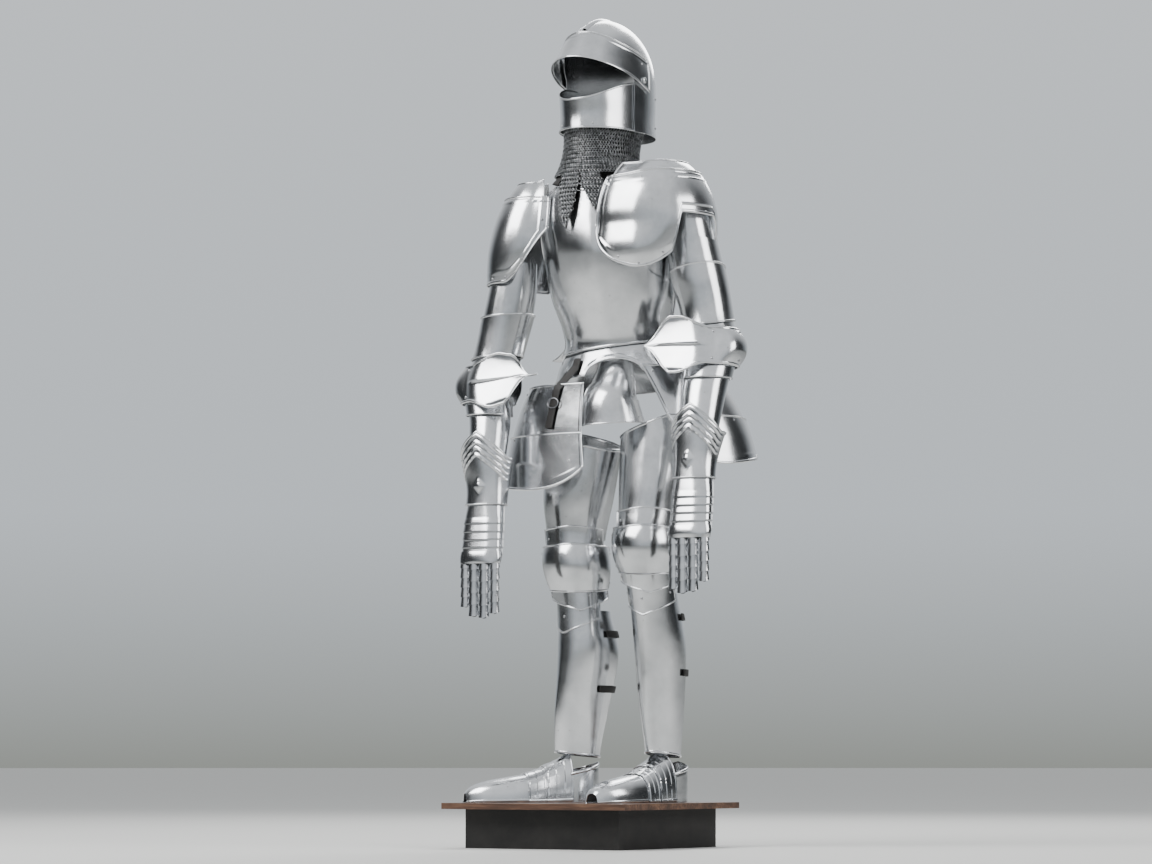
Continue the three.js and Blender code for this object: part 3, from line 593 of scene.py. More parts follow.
def plate(name, at, o):
    """A plate from its options: where it lies on the form, its rolled edges
    and what is raised on it. Returns its surface as a function of u and v."""
    ring = o.get("ring", False)
    roll_top, roll_low, roll_side = o.get("roll", (0, 0, 0))
    high = o.get("roll_height", 2.0)
    cols, rows = o.get("cols", 48), o.get("rows", 20)
    f0, f1 = o.get("from", -180), o.get("to", 180)
    from_at = f0 if callable(f0) else (lambda v: f0 + 0 * v)
    to_at = f1 if callable(f1) else (lambda v: f1 + 0 * v)
    o0, o1 = o.get("off", (0, 0))

    def angle(u, v):
        a, b = np.radians(from_at(v)), np.radians(to_at(v))
        return a + (b - a) * u

    def heights(u, v):
        th = angle(u, v)
        return o["top"](th), (o["low"](th, u) if o.get("low_u") else o["low"](th))

    mid = np.linspace(0, 1, 33)
    top, low = heights(mid, 0.5 + 0 * mid)
    line = at(angle(mid, 0.5 + 0 * mid), (top + low) / 2, 0.0)
    width = np.linalg.norm(np.diff(line, axis=0), axis=1).sum()
    us = spread(width, cols, 0 if ring else roll_side, 0 if ring else roll_side)
    t_u, l_u = heights(us, 0.5 + 0 * us)
    up_a = at(angle(us, 0 * us), t_u, 0.0)
    up_b = at(angle(us, 1 + 0 * us), l_u, 0.0)
    tall = np.maximum(np.linalg.norm(up_a - up_b, axis=-1), 6.0)
    vs = np.stack([spread(length, rows, roll_top, roll_low) for length in tall], 1)
    u = np.broadcast_to(us, vs.shape)

    def surface(u, v, extra=0.0):
        th = angle(u, v)
        top, low = heights(u, v)
        h = top + (low - top) * v
        off = o0 + (o1 - o0) * v + extra
        length = np.interp(u, us, tall)
        d_top, d_low = v * length, (1 - v) * length
        d_side = np.minimum(u, 1 - u) * width
        if o.get("swell"):
            off = off + o["swell"](th, v, u)
        rim = 0.0 * off
        if roll_top:
            rim = np.maximum(rim, bead(d_top, roll_top, high))
        if roll_low:
            rim = np.maximum(rim, bead(d_low, roll_low, high))
        if roll_side and not ring:
            rim = np.maximum(rim, bead(d_side, roll_side, high))
        off = off + rim
        if o.get("raise"):
            off = off + o["raise"](th, h, u, v, d_top, d_low, d_side, width)
        return at(th, h, off)

    points = surface(u, vs)
    first = float(from_at(np.array(0.5)))
    last = float(to_at(np.array(0.5)))
    obj = shaped_grid(points, ring, flip=last < first)
    wall = sizes().thin_wall if o.get("thin") else sizes().plate_wall
    # the sheet of painted shade under the mail is thinner than a plate
    if o.get("shade_sheet"):
        wall = 1.0 * MM
    apply_modifier(obj, "SOLIDIFY", thickness=wall, offset=-1.0)
    finish, slot = o.get("finish", "steel"), o.get("slot", "steel")
    dress(obj, name, finish, slot, o.get("body", "suit"), o.get("node", name))
    return surface


def spot(surface, u, v):
    """A place on a surface and the direction square to it, for a rivet."""
    e = 0.004

    def point(u, v):
        return surface(*np.clip((u, v), 0.0, 1.0))

    n = -np.cross(point(u + e, v) - point(u - e, v), point(u, v + e) - point(u, v - e))
    return point(u, v), n / (np.linalg.norm(n) + 1e-9)


def stamp_mesh(name, verts, faces, places):
    """Copies a small shape to many places: (point mm, 3x3 axes, size mm)."""
    verts = np.asarray(verts)
    all_v, all_f = [], []
    for k, (p, axes, size) in enumerate(places):
        world = (verts * size) @ np.asarray(axes).T + np.asarray(p)
        all_v.append(world)
        all_f.extend(tuple(i + k * len(verts) for i in f) for f in faces)
    pts = np.concatenate(all_v) * MM
    pts[:, 2] += LIFT * MM
    mesh = bpy.data.meshes.new(name)
    mesh.from_pydata(pts.tolist(), [], all_f)
    obj = bpy.data.objects.new(name, mesh)
    bpy.context.collection.objects.link(obj)
    return obj


def shape_of(make):
    """The vertices and faces of a primitive, made once and taken away."""
    bpy.ops.object.select_all(action="DESELECT")
    make()
    obj = bpy.context.object
    verts = [tuple(v.co) for v in obj.data.vertices]
    faces = [tuple(f.vertices) for f in obj.data.polygons]
    bpy.data.objects.remove(obj)
    return verts, faces


def axes_from(normal, along=(0.31, 0.17, 0.93)):
    """Right-handed axes with z along a normal."""
    z = np.asarray(normal, float)
    x = np.cross(along, z)
    x /= np.linalg.norm(x) + 1e-9
    return np.stack([x, np.cross(z, x), z], 1)


def rivets(name, spots, radius=3.2, height=1.7, body="suit", finish="rivet"):
    """Domed rivet heads, joined in one piece."""
    verts, faces = shape_of(
        lambda: bpy.ops.mesh.primitive_uv_sphere_add(segments=12, ring_count=8, radius=1.0)
    )
    verts = [(x, y, z * height / radius) for x, y, z in verts]
    places = [(p, axes_from(n), radius * sizes().rivet_scale) for p, n in spots]
    obj = stamp_mesh(name, verts, faces, places)
    return dress(obj, name, finish, "steel", body, angle=60)


def loop_of_wire(name, points, radius, finish):
    """A closed loop of round bar through points in mm, made from a curve."""
    curve = bpy.data.curves.new(name, "CURVE")
    curve.dimensions = "3D"
    curve.bevel_depth = radius * MM
    curve.bevel_resolution = 3
    curve.use_fill_caps = True
    line = curve.splines.new("POLY")
    line.points.add(len(points) - 1)
    for point, p in zip(line.points, points):
        point.co = (p[0] * MM, p[1] * MM, (p[2] + LIFT) * MM, 1)
    line.use_cyclic_u = True
    obj = bpy.data.objects.new(name, curve)
    bpy.context.collection.objects.link(obj)
    select_only(obj)
    bpy.ops.object.convert(target="MESH")
    return dress(bpy.context.object, name, finish, "steel")


def strap(name, points, normals, width):
    """A flat strap through points in mm, its face turned along the normals."""
    pts = np.asarray(points, float)
    nrm = np.asarray(normals, float)
    run = np.gradient(pts, axis=0)
    run /= np.linalg.norm(run, axis=1, keepdims=True)
    side = np.cross(run, nrm)
    side /= np.linalg.norm(side, axis=1, keepdims=True)
    face = np.cross(side, run)
    across = np.linspace(-1, 1, 7)
    grid = pts[:, None] + side[:, None] * (across * width / 2)[None, :, None]
    grid = grid + face[:, None] * (0.5 * (1 - across**4))[None, :, None]
    obj = shaped_grid(grid, False, False)
    apply_modifier(obj, "SOLIDIFY", thickness=sizes().strap_thickness, offset=0.0)
    apply_modifier(obj, "BEVEL", width=0.5 * MM, segments=2)
    return dress(obj, name, "leather", "glove_leather")


# ---- pieces -------------------------------------------------------------------------
def armhole(th, mid, neck, drop, low):
    """Top edge of a body plate: a neckline with an armhole on each side."""
    d = np.abs(np.arctan2(np.sin(th - mid), np.cos(th - mid)))
    half = rad(40)
    side = neck + drop + (low - neck - drop) * smooth((d - half) / (rad(90) - half))
    return np.where(d < half, neck + drop * d / half, side)


def make_torso():
    """Breastplate, backplate and the skirt lames under them, with their rivets."""
    at = form(TORSO, 60)
    front = plate("breastplate", at, {
        "from": -87, "to": 87, "cols": 72, "rows": 40, "roll": (9, 6, 7), "roll_height": 3.0,
        "top": lambda t: armhole(t, 0, 1426, 16, 1262), "low": edge(1056, 0, 16),
    })
    back = plate("backplate", at, {
        "from": 92, "to": 268, "cols": 60, "rows": 36, "roll": (8, 6, 6), "off": (0, 2),
        "top": lambda t: armhole(t, math.pi, 1438, 4, 1272), "low": edge(1042, 0, 16),
        "swell": lambda t, v, u: 22 * np.clip((v - 0.8) / 0.2, 0, 1) ** 1.5,
    })
    fauld = plate("fauld_front", at, {
        "from": -86, "to": 86, "cols": 90, "rows": 16, "roll": (0, 5, 4), "off": (-5.5, -4),
        "top": edge(1066, 0, 16),
        "low": lambda t: 994 + 14 * np.sin(t) + 34 * np.sqrt(np.maximum(0, 1 - (t / rad(24)) ** 2)),
        "raise": lambda t, h, u, v, a, b, s, w: ridge(b - 11, 2.4, 1.3),
    })
    plate("culet_rear", at, {
        "from": 94, "to": 266, "cols": 60, "rows": 16, "roll": (0, 5, 4), "off": (-5.5, -3),
        "top": edge(1060, 0, 16), "low": edge(968, 0, 12),
    })
    spots = [spot(fauld, u, 0.32) for u in (0.1, 0.3, 0.5, 0.7, 0.9)]
    spots += [spot(front, u, v) for u in (0.035, 0.965) for v in (0.2, 0.55, 0.85)]
    spots += [spot(back, u, v) for u in (0.035, 0.965) for v in (0.2, 0.55, 0.85)]
    rivets("body_rivets", spots)


def make_brayette():
    """Three lapping lames over the fork of the body."""
    at = form(FORK)
    spots = []
    for i, (top, low) in enumerate([(1026, 966), (971, 920), (925, 870)]):
        face = plate(f"brayette_lame_{i + 1}", at, {
            "from": -80, "to": 80, "cols": 40, "rows": 10, "roll": (0, 4, 3), "roll_height": 1.5,
            "top": edge(top, 0, 4), "low": edge(low, 0, 4), "off": (i * LAP, i * LAP),
        })
        spots += [spot(face, u, 0.7) for u in (0.08, 0.92)]
    rivets("brayette_rivets", spots, 2.6, 1.4)


def tasset_patch(side, name, tilt, drop, front_top, front_low, lower):
    """The upper or the lower plate of a tasset, between its front and rear edges."""
    s = 1 if side == "left" else -1
    top_edge, seam = 1006 + tilt, 880 + tilt
    lowest = drop + tilt
    top = seam + 8 if lower else top_edge
    low = lowest if lower else seam - 8

    def front(h):
        return front_top + (front_low - front_top) * (top_edge - h) / (top_edge - lowest)

    return plate(name, form(HIPS), {
        "from": lambda v: s * front(top + (low - top) * v),
        "to": lambda v: s * (112 + 8 * (top_edge - top - (low - top) * v) / 240),
        "cols": 60, "rows": 22, "roll": (4, 7, 7) if lower else (6, 4, 7), "roll_height": 2.4,
        "top": lambda t: top + 0 * t, "low_u": True,
        "low": lambda t, u: low + (62 * np.abs(2 * u - 1) ** 5 + 44 * u if lower else 0 * u),
        "off": (LAP, LAP) if lower else (0, 0),
        "raise": lambda t, h, u, v, a, b, d, w: ridge(np.minimum(b, d) - 16, 2.2, 1.2) if lower else 0 * h,
    })


def make_tassets():
    """Both tassets; the two hang at different heights and turns."""
    for side, sizes in (("right", (-34, 742, 17, 13)), ("left", (6, 760, 18, 33))):
        upper = tasset_patch(side, f"tasset_{side}_upper", *sizes, False)
        lower = tasset_patch(side, f"tasset_{side}_lower", *sizes, True)
        spots = [spot(upper, u, 0.12) for u in (0.06, 0.35, 0.65, 0.94)]
        spots += [spot(lower, u, 0.08) for u in (0.06, 0.5, 0.94)] + [spot(lower, 0.06, 0.6)]
        rivets(f"tasset_rivets_{side}", spots)


def make_leg(side):
    """Cuisse, knee cop with its lames, demi-greave and greave."""
    up = LEFT_KNEE if side == "left" else 0.0
    leg, shin = form(LEG[side]), form(SHIN[side])
    hip = 34 if side == "left" else -26

    def z(h):
        return h + up

    def part(name, at, **o):
        return plate(f"{name}_{side}", at, o)

    part("cuisse", leg, ring=True, cols=72, rows=26, roll=(7, 0, 0), off=(0, -1.5),
         top=edge(z(850), -6, hip), low=edge(z(610), -4, 0))
    lame = part("poleyn_upper_lame", leg, **{"from": -66, "to": 66}, cols=40, rows=10, roll=(4, 0, 3),
                off=(LAP, LAP), top=edge(z(636), 0, 0, 8, 60), low=edge(z(588)))
    knee = part("poleyn", leg, **{"from": -104, "to": 104}, cols=60, rows=26, roll=(4, 4, 4),
                off=(2 * LAP + 1, 2 * LAP + 1), top=edge(z(598), 0, 0, 4, 50), low=edge(z(494), -8),
                swell=lambda t, v, u: 17 * np.sin(math.pi * v) * (0.5 + 0.5 * np.cos(t)))
    under = part("poleyn_lower_lame", leg, **{"from": -92, "to": 92}, cols=50, rows=10, roll=(0, 4, 3),
                 off=(LAP + 1, LAP + 1), top=edge(z(506), -4), low=edge(z(472), 0, 0, -28, 80))
    demi = part("demi_greave", shin, **{"from": -90, "to": 90}, cols=50, rows=12, roll=(0, 4, 3),
                off=(-3, -3), top=edge(z(480)), low=edge(z(428), 0, 0, -36, 90))
    part("greave", shin, ring=True, cols=72, rows=40, roll=(0, 6, 0), off=(-3 - LAP, -3 - LAP),
         top=edge(z(446)), low=edge(108, 6, 0))
    spots = [spot(lame, u, 0.5) for u in (0.1, 0.9)] + [spot(knee, u, 0.16) for u in (0.08, 0.92)]
    spots += [spot(knee, u, 0.84) for u in (0.08, 0.92)] + [spot(under, u, 0.6) for u in (0.08, 0.92)]
    spots += [spot(demi, u, 0.55) for u in (0.1, 0.5, 0.9)]
    rivets(f"leg_rivets_{side}", spots)


def heel_form(side):
    """The heel cup's form: an upright oval round the ankle."""
    x0, y0, yaw = ANKLE[side]

    def at(t, h, off=0.0):
        t, h, off = arrays(t, h, off)
        r = 2 * LAP + off
        lx = (47 + r) * np.sin(t) * 1.02
        d = -6 - (44 + r) * np.cos(t)
        return turned(x0, y0, h, lx, -d, rad(yaw))

    return at


def make_sabaton(side):
    """Toe, middle and instep of lapping lames, and the heel cup."""
    at = foot_form(side)

    def arch(kind, d0, d1, off, step, roll, rows):
        return plate(f"sabaton_{kind}_{side}", at, {
            "from": -90, "to": 90, "cols": 48, "rows": rows, "roll": roll, "roll_height": 1.4,
            "top": lambda t: d0 + 0 * t, "low": lambda t: d1 + 0 * t, "off": (off, off),
            "raise": lambda t, h, u, v, a, b, s, w: 1.5 * np.mod(a / step, 1.0) if step else 0 * h,
        })

    toe = arch("toe", 112, 262, 0, 0, (3, 0, 4), 34)
    mid = arch("lame", 66, 122, LAP - 1, 18, (0, 0, 3), 36)
    arch("instep", 14, 78, 2 * LAP - 1.2, 21, (4, 0, 3), 36)
    plate(f"sabaton_heel_{side}", heel_form(side), {
        "from": -118, "to": 118, "cols": 48, "rows": 16, "roll": (5, 0, 0), "node": (),
        "top": lambda t: 94 - 26 * np.abs(t / rad(118)), "low": lambda t: 0.6 + 0 * t,
    })
    spots = [spot(face, u, v) for face, v in ((toe, 0.06), (mid, 0.2)) for u in (0.1, 0.9)]
    rivets(f"sabaton_rivets_{side}", spots)


def make_skull():
    """The skull with its face cut open, and the low comb along its top."""
    rise = np.linspace(1, 0, 36)
    crown = PIVOT[2] + SKULL_R * np.sin(math.pi / 2 * rise)
    heights = np.concatenate([crown, np.linspace(1684, 1566, 16)])
    turn = np.radians(np.linspace(-180, 180, 97))
    grid = helm(turn[None, :], heights[:, None], 0.0)
    obj = shaped_grid(grid, True, False)
    apply_modifier(obj, "SOLIDIFY", thickness=1.6 * MM, offset=-1.0)
    side_view = [(-200, 1500), (14, 1500), (14, 1702), (-26, 1756), (-200, 1778)]
    pts = [(x * MM, y * MM, (h + LIFT) * MM) for x in (-200, 200) for y, h in side_view]
    n = len(side_view)
    faces = [tuple(range(n))[::-1], tuple(range(n, 2 * n))]
    faces += [(i, (i + 1) % n, (i + 1) % n + n, i + n) for i in range(n)]
    mesh = bpy.data.meshes.new("face_cutter")
    mesh.from_pydata(pts, [], faces)
    cutter = bpy.data.objects.new("face_cutter", mesh)
    bpy.context.collection.objects.link(cutter)
    in_edit(cutter, lambda: bpy.ops.mesh.normals_make_consistent(inside=False))
    apply_modifier(obj, "BOOLEAN", object=cutter, operation="DIFFERENCE", solver="EXACT")
    bpy.data.objects.remove(cutter)
    dress(obj, "helmet_skull", "steel", "steel", node="helmet_skull")
    b = np.radians(np.linspace(50, 186, 70))[:, None]
    across = np.linspace(-1, 1, 11)[None, :]
    r = SKULL_R + 5.0 * (1 - across**2) ** 1.5 - 0.6
    comb = np.stack(
        [PIVOT[0] + 6.5 * across + 0 * b, PIVOT[1] - r * np.cos(b), PIVOT[2] + r * np.sin(b)], -1
    )
    comb_obj = shaped_grid(comb, False, False)
    apply_modifier(comb_obj, "SOLIDIFY", thickness=0.8 * MM, offset=-1.0)
    dress(comb_obj, "helmet_comb", "steel", "steel")


def make_helmet():
    """Skull, visor and bevor, with rivets and the visor's pivot heads."""
    make_skull()
    visor = plate("helmet_visor", helm, {
        "from": -101, "to": 101, "cols": 72, "rows": 26, "roll": (4, 7, 4), "body": "visor",
        "top": lambda t: 1750 + 44 * np.maximum(np.cos(t), -0.2),
        "low": lambda t: 1674 + 52 * np.maximum(np.cos(t), -0.2),
        "swell": lambda t, v, u: 5 + (2.6 + 14 * v**3) * np.maximum(0, np.cos(t)),
        "raise": lambda t, h, u, v, a, b, s, w: ridge(a - 11, 2.2, 1.2),
    })
    bevor = plate("helmet_bevor", helm, {
        "from": -97, "to": 97, "cols": 64, "rows": 22, "roll": (5, 5, 0), "off": (-3.4, -3.4),
        "top": lambda t: 1638 + 46 * np.abs(np.sin(t)) ** 2.5, "low": lambda t: 1566 + 0 * t,
    })
    rivets("visor_rivets", [spot(visor, u, v) for u, v in ((0.06, 0.3), (0.94, 0.3))], 2.6, body="visor")
    spots = [spot(bevor, u, 0.86) for u in (0.1, 0.36, 0.64, 0.84)]
    spots += [(helm(rad(a), h, 0.2), (helm(rad(a), h, 1.0) - helm(rad(a), h, 0.0)))
              for a in (128, -128, 160, -160) for h in (1590, 1660)]
    rivets("helmet_rivets", spots, 2.8)
    ends = [((PIVOT[0] + s * (SKULL_A + 7.4), PIVOT[1], PIVOT[2]), (s, 0, 0)) for s in (-1, 1)]
    rivets("visor_pivots", ends, 7.5, 3.2, finish="steel")


def rim_line(d_low, d_side, inset):
    """A raised line that follows the lower and side edges at an inset."""
    return ridge(np.minimum(d_low, d_side) - inset, 2.6, 1.7)


def make_shoulders():
    """The broad left pauldron, the shield-shaped right one and their top lames."""
    left = dome(160, 26, 1342, 147, 146, 172, 14)
    right = dome(-151, -38, 1296, 95, 100, 186, 12, 0.16)

    def left_at(th, b, off=0.0):
        d, up = np.degrees(th), np.degrees(b)
        lift = 8 * smooth((-8 - d) / 36) + 26 * smooth(-up / 30) * smooth((40 - d) / 40)
        return left(th, b, off + lift + 26 * smooth((d - 140) / 40))

    def right_at(th, b, off=0.0):
        d = np.degrees(th)
        return right(th, b, off + 12 * smooth((d - 16) / 30) + 16 * smooth((-150 - d) / 40))

    def left_low(t):
        d = np.degrees(t)
        wing = -44 * np.sqrt(np.maximum(0, 1 - ((d - 5) / 50) ** 2)) + 8
        rear = -26 + 30 * smooth((d - 35) / 8) - 18 * smooth((d - 84) / 14)
        return np.radians(np.where(d < 35, wing, rear))

    def left_slope(t, base, rise):
        d = np.degrees(t)
        return np.radians(base + rise * smooth((d + 68) / 100) - rise * smooth((d - 120) / 86))

    cap = plate("pauldron_left", left_at, {
        "from": -43, "to": 186, "cols": 110, "rows": 44, "roll": (5, 8, 8), "roll_height": 2.6,
        "top": lambda t: left_slope(t, 34, 10), "low": left_low,
        "raise": lambda t, h, u, v, a, b, s, w: (
            rim_line(b, s, 20) + ridge(a - 12, 2.2, 1.4) + ridge(a - 26, 2.2, 1.4)),
    })
    plate("pauldron_lame_left", left_at, {
        "from": -36, "to": 170, "cols": 80, "rows": 12, "roll": (4, 4, 3), "off": (-LAP, -LAP),
        "top": lambda t: left_slope(t, 50, 8), "low": lambda t: left_slope(t, 32, 10),
    })
    shield = plate("pauldron_right", right_at, {
        "from": -194, "to": 45, "cols": 110, "rows": 44, "roll": (5, 8, 8), "roll_height": 2.6,
        "top": lambda t: np.radians(40 - 4 * smooth((np.degrees(t) - 10) / 40)),
        "low": lambda t: np.radians(-27 + 38 * smooth((np.degrees(t) + 14) / 62) ** 1.4),
        "raise": lambda t, h, u, v, a, b, s, w: rim_line(b, s, 24) + ridge(a - 14, 2.2, 1.4),
    })
    plate("pauldron_lame_right", right_at, {
        "from": -180, "to": 36, "cols": 80, "rows": 12, "roll": (4, 4, 3), "off": (-LAP, -LAP),
        "top": lambda t: np.radians(58) + 0 * t,
        "low": lambda t: np.radians(36 - 4 * smooth((np.degrees(t) - 10) / 40)),
    })
    on_cap = [(0.07, 0.12), (0.2, 0.1), (0.07, 0.5), (0.12, 0.93), (0.2, 0.955)]
    on_cap += [(u, 0.93) for u in (0.3, 0.5, 0.7)]
    on_shield = [(0.96, 0.15), (0.96, 0.6), (0.88, 0.93)] + [(u, 0.94) for u in (0.78, 0.66, 0.5)]
    spots = [spot(cap, *place) for place in on_cap] + [spot(shield, *place) for place in on_shield]
    rivets("shoulder_rivets", spots)


def make_couter(side, z, at):
    """A cup round the elbow point and a wing across its bend."""
    m = 1 if side == "left" else -1
    tip = WING_TIP[side]
    d = np.linspace(228, -tip, 90)[None, :]
    wing = 74 * (1 - np.maximum(0, (20 - tip - d) / 20) ** 1.7) + 1.5
    half = np.where(d > 20 - tip, 45 + 29 * smooth((20 - d) / 56), wing)
    v = spread(120.0, 34, 6, 6)[:, None]
    out = np.where(d < 30, 12 * smooth((30 - d) / 40), 0)
    flat = np.where(d < 0, 72 * (1 / np.cos(np.radians(np.minimum(d, 0))) - 1), 0)
    bulge = np.where(d > 20, 16 * np.cos((v - 0.5) * math.pi) * smooth((d - 20) / 50), 0)
    h = z(988) + half * (1 - 2 * v)
    held = np.clip(h, z(988) - 60, z(988) + 60)
    d_edge = np.minimum(v, 1 - v) * 2 * half
    crease = ridge(h - z(988), 5, 3.0) * smooth((24 - d) / 30)
    off = 2 * LAP + out + flat + bulge + bead(d_edge, 6, 2.2) + crease
    points = at(np.radians(d * m) + 0 * v, held, off)
    points[..., 2] += h - held
    obj = shaped_grid(points, False, m > 0)
    apply_modifier(obj, "SOLIDIFY", thickness=1.6 * MM, offset=-1.0)
    dress(obj, f"couter_{side}", "steel", "steel", node=f"couter_{side}")
    spots = []
    for ang in (28, 90, 200):
        for up in (32, -32):
            swell = 16 * math.cos(up / 90 * math.pi) * float(smooth((ang - 20) / 50))
            t = np.array(rad(ang * m))
            p = at(t, np.array(z(988) + up), 2 * LAP + swell + 0.8)
            spots.append((p, p - at(t, np.array(z(988.0) + up), 0.0)))
    rivets(f"couter_rivets_{side}", [(p, n / np.linalg.norm(n)) for p, n in spots])


def make_arm(side):
    """All plates of an arm from the shoulder to the wrist, and the hand."""
    at = form(ARM[side])
    up, hand = ELBOW_UP[side], HAND_UP[side]
    m = 1 if side == "left" else -1

    def z(h):
        return h + up

    def w(h):
        return h + hand

    def part(name, **o):
        return plate(f"{name}_{side}", at, o)

    if side == "left":
        plate("spaulder_lame_1_left", at, {
            "from": -36, "to": 84, "cols": 40, "rows": 12, "roll": (4, 4, 3), "off": (-LAP - 1, -LAP - 1),
            "top": edge(1366, 0, 6), "low": edge(1296, 4, -4)})
        plate("spaulder_lame_2_left", at, {
            "ring": True, "cols": 64, "rows": 14, "roll": (0, 5, 0),
            "top": edge(1302, 4, -2), "low": edge(1218, 10, 12)})
        part("rerebrace", ring=True, cols=64, rows=20, roll=(5, 5, 0), off=(LAP, LAP),
             top=edge(1232, 10, 12), low=edge(1104, -8, 4))
    else:
        part("rerebrace_upper", ring=True, cols=64, rows=20, roll=(0, 5, 0), off=(-8, 0),
             top=edge(1262), low=edge(1128, 0, 4))
        part("rerebrace", ring=True, cols=64, rows=20, roll=(5, 5, 0), off=(LAP, LAP),
             top=edge(1140, 0, 4), low=edge(1038, 0, 6))
    span_of = {"from": -70 * m, "to": 225 * m}
    part("couter_upper_lame", **span_of, cols=60, rows=10, roll=(4, 0, 3), off=(-1, 0),
         top=edge(z(1056)), low=edge(z(1014)))
    make_couter(side, z, at)
    part("couter_lower_lame", **span_of, cols=60, rows=10, roll=(0, 4, 3),
         top=edge(z(960)), low=edge(z(914)))
    part("vambrace", ring=True, cols=60, rows=20, off=(-LAP - 2.6, -LAP - 2.6),
         top=edge(z(940), -14), low=edge(w(790)))

    def chevrons(t, h, u, v, a, b, s, width):
        front = smooth((rad(100) - np.abs(t)) / rad(24))
        lines = sum(ridge(a - k, 3.4, 2.2) for k in (13, 27, 41, 55)) * front
        across = 50 * np.abs(t)
        boss = np.maximum(0, 1 - across / 15 - np.abs(h - w(744)) / 22)
        return lines + 6 * np.minimum(boss, 0.75)

    cuff = part("gauntlet_cuff", ring=True, cols=110, rows=52, roll=(6, 4, 0), off=(12, 3), thin=True,
                top=edge(w(812), 0, 0, 60, 80), low=edge(w(700)), **{"raise": chevrons})
    part("gauntlet_back", **{"from": -96, "to": 96}, cols=56, rows=60, roll=(0, 4, 3), off=(-1, -1),
         thin=True, top=edge(w(712)), low=edge(w(578)),
         **{"raise": lambda t, h, u, v, a, b, s, width: 1.5 * np.mod(a / 19, 1.0) * smooth((a - 40) / 6)})
    spots = [spot(cuff, 0.5, 0.09), spot(cuff, 0.5, 0.68), spot(cuff, 0.36, 0.2), spot(cuff, 0.64, 0.2)]
    rivets(f"gauntlet_rivets_{side}", spots, 2.4, 1.5)
    make_hand(side, at, w, m)


def middle(at, h):
    """The middle of a form at a height."""
    return (at(0.0, h) + at(math.pi, h)) / 2


def make_hand(side, at, w, m):
    """Finger scales on a knuckle lame, and the leather glove under them."""
    top = w(576)
    yaw = rad(6)
    mid = middle(at, w(570))
    th = np.radians(np.linspace(-86, 86, 45))[None, :]
    v = np.linspace(0, 1, 12)[:, None]
    knuckles = 1.6 * np.abs(np.sin(th * 2.3 + math.pi / 2))
    lame = at(th + 0 * v, w(592) - 28 * v, 2.2 + knuckles * np.sin(v * math.pi))
    parts = [shaped_grid(lame, False, False)]
    places = []
    for across, back, length, r in FINGERS:
        x, y, _ = turned(mid[0], mid[1], 0.0, -across * m, -27.6 + r + back, yaw)
        phi = np.radians(np.linspace(-96, 96, 17))[None, :]
        for k in range(5):
            high = top - length * k / 5 + 5
            low = top - length * (k + 1) / 5 - 4 * np.cos(phi) + 4
            vv = np.linspace(0, 1, 6)[:, None]
            h = high + (low - high) * vv
            rr = r - 0.25 * k - 0.9 + 2.2 * vv**1.5
            pts = np.stack([x + rr * np.sin(phi + yaw), y - rr * np.cos(phi + yaw), h + 0 * rr], -1)
            parts.append(shaped_grid(pts, False, False))
        for k in range(15):
            places.append(((x, y, top + 6 - (length - 2) * k / 14), np.eye(3), r - 4.2 + 1.2 * k / 14))
    for part in parts:
        apply_modifier(part, "SOLIDIFY", thickness=1.0 * MM, offset=-1.0)
    select_only(parts[0])
    for part in parts:
        part.select_set(True)
    bpy.ops.object.join()
    dress(parts[0], f"gauntlet_fingers_{side}", "steel", "steel", node=f"gauntlet_fingers_{side}")
    for k in range(9):
        places.append((middle(at, w(700 - 14 * k)), np.diag([1.0, 0.48, 0.5]), 40.0))
    for k in range(9):
        thumb = (mid[0] - 22 * m, mid[1] + 22, w(556 + 84 * k / 8))
        places.append((thumb, np.eye(3), 9.5 + 1.5 * k / 8))
    verts, faces = shape_of(
        lambda: bpy.ops.mesh.primitive_uv_sphere_add(segments=16, ring_count=10, radius=1.0)
    )
    glove = stamp_mesh(f"glove_{side}", verts, faces, places)
    apply_modifier(glove, "REMESH", mode="VOXEL", voxel_size=2.4 * MM)
    apply_modifier(glove, "SMOOTH", factor=0.5, iterations=6)
    dress(glove, f"glove_{side}", "leather", "glove_leather", node=f"glove_{side}", angle=80)


def mail_edge(t):
    """Lower edge of the mail: a round collar with two hanging points."""
    out = 1466 + 0 * t
    for middle, drop in ((-17.0, 140), (9.34, 118)):
        out = out - drop * np.maximum(0, 1 - np.abs(t - rad(middle)) / rad(13.2)) ** 0.8
    return out


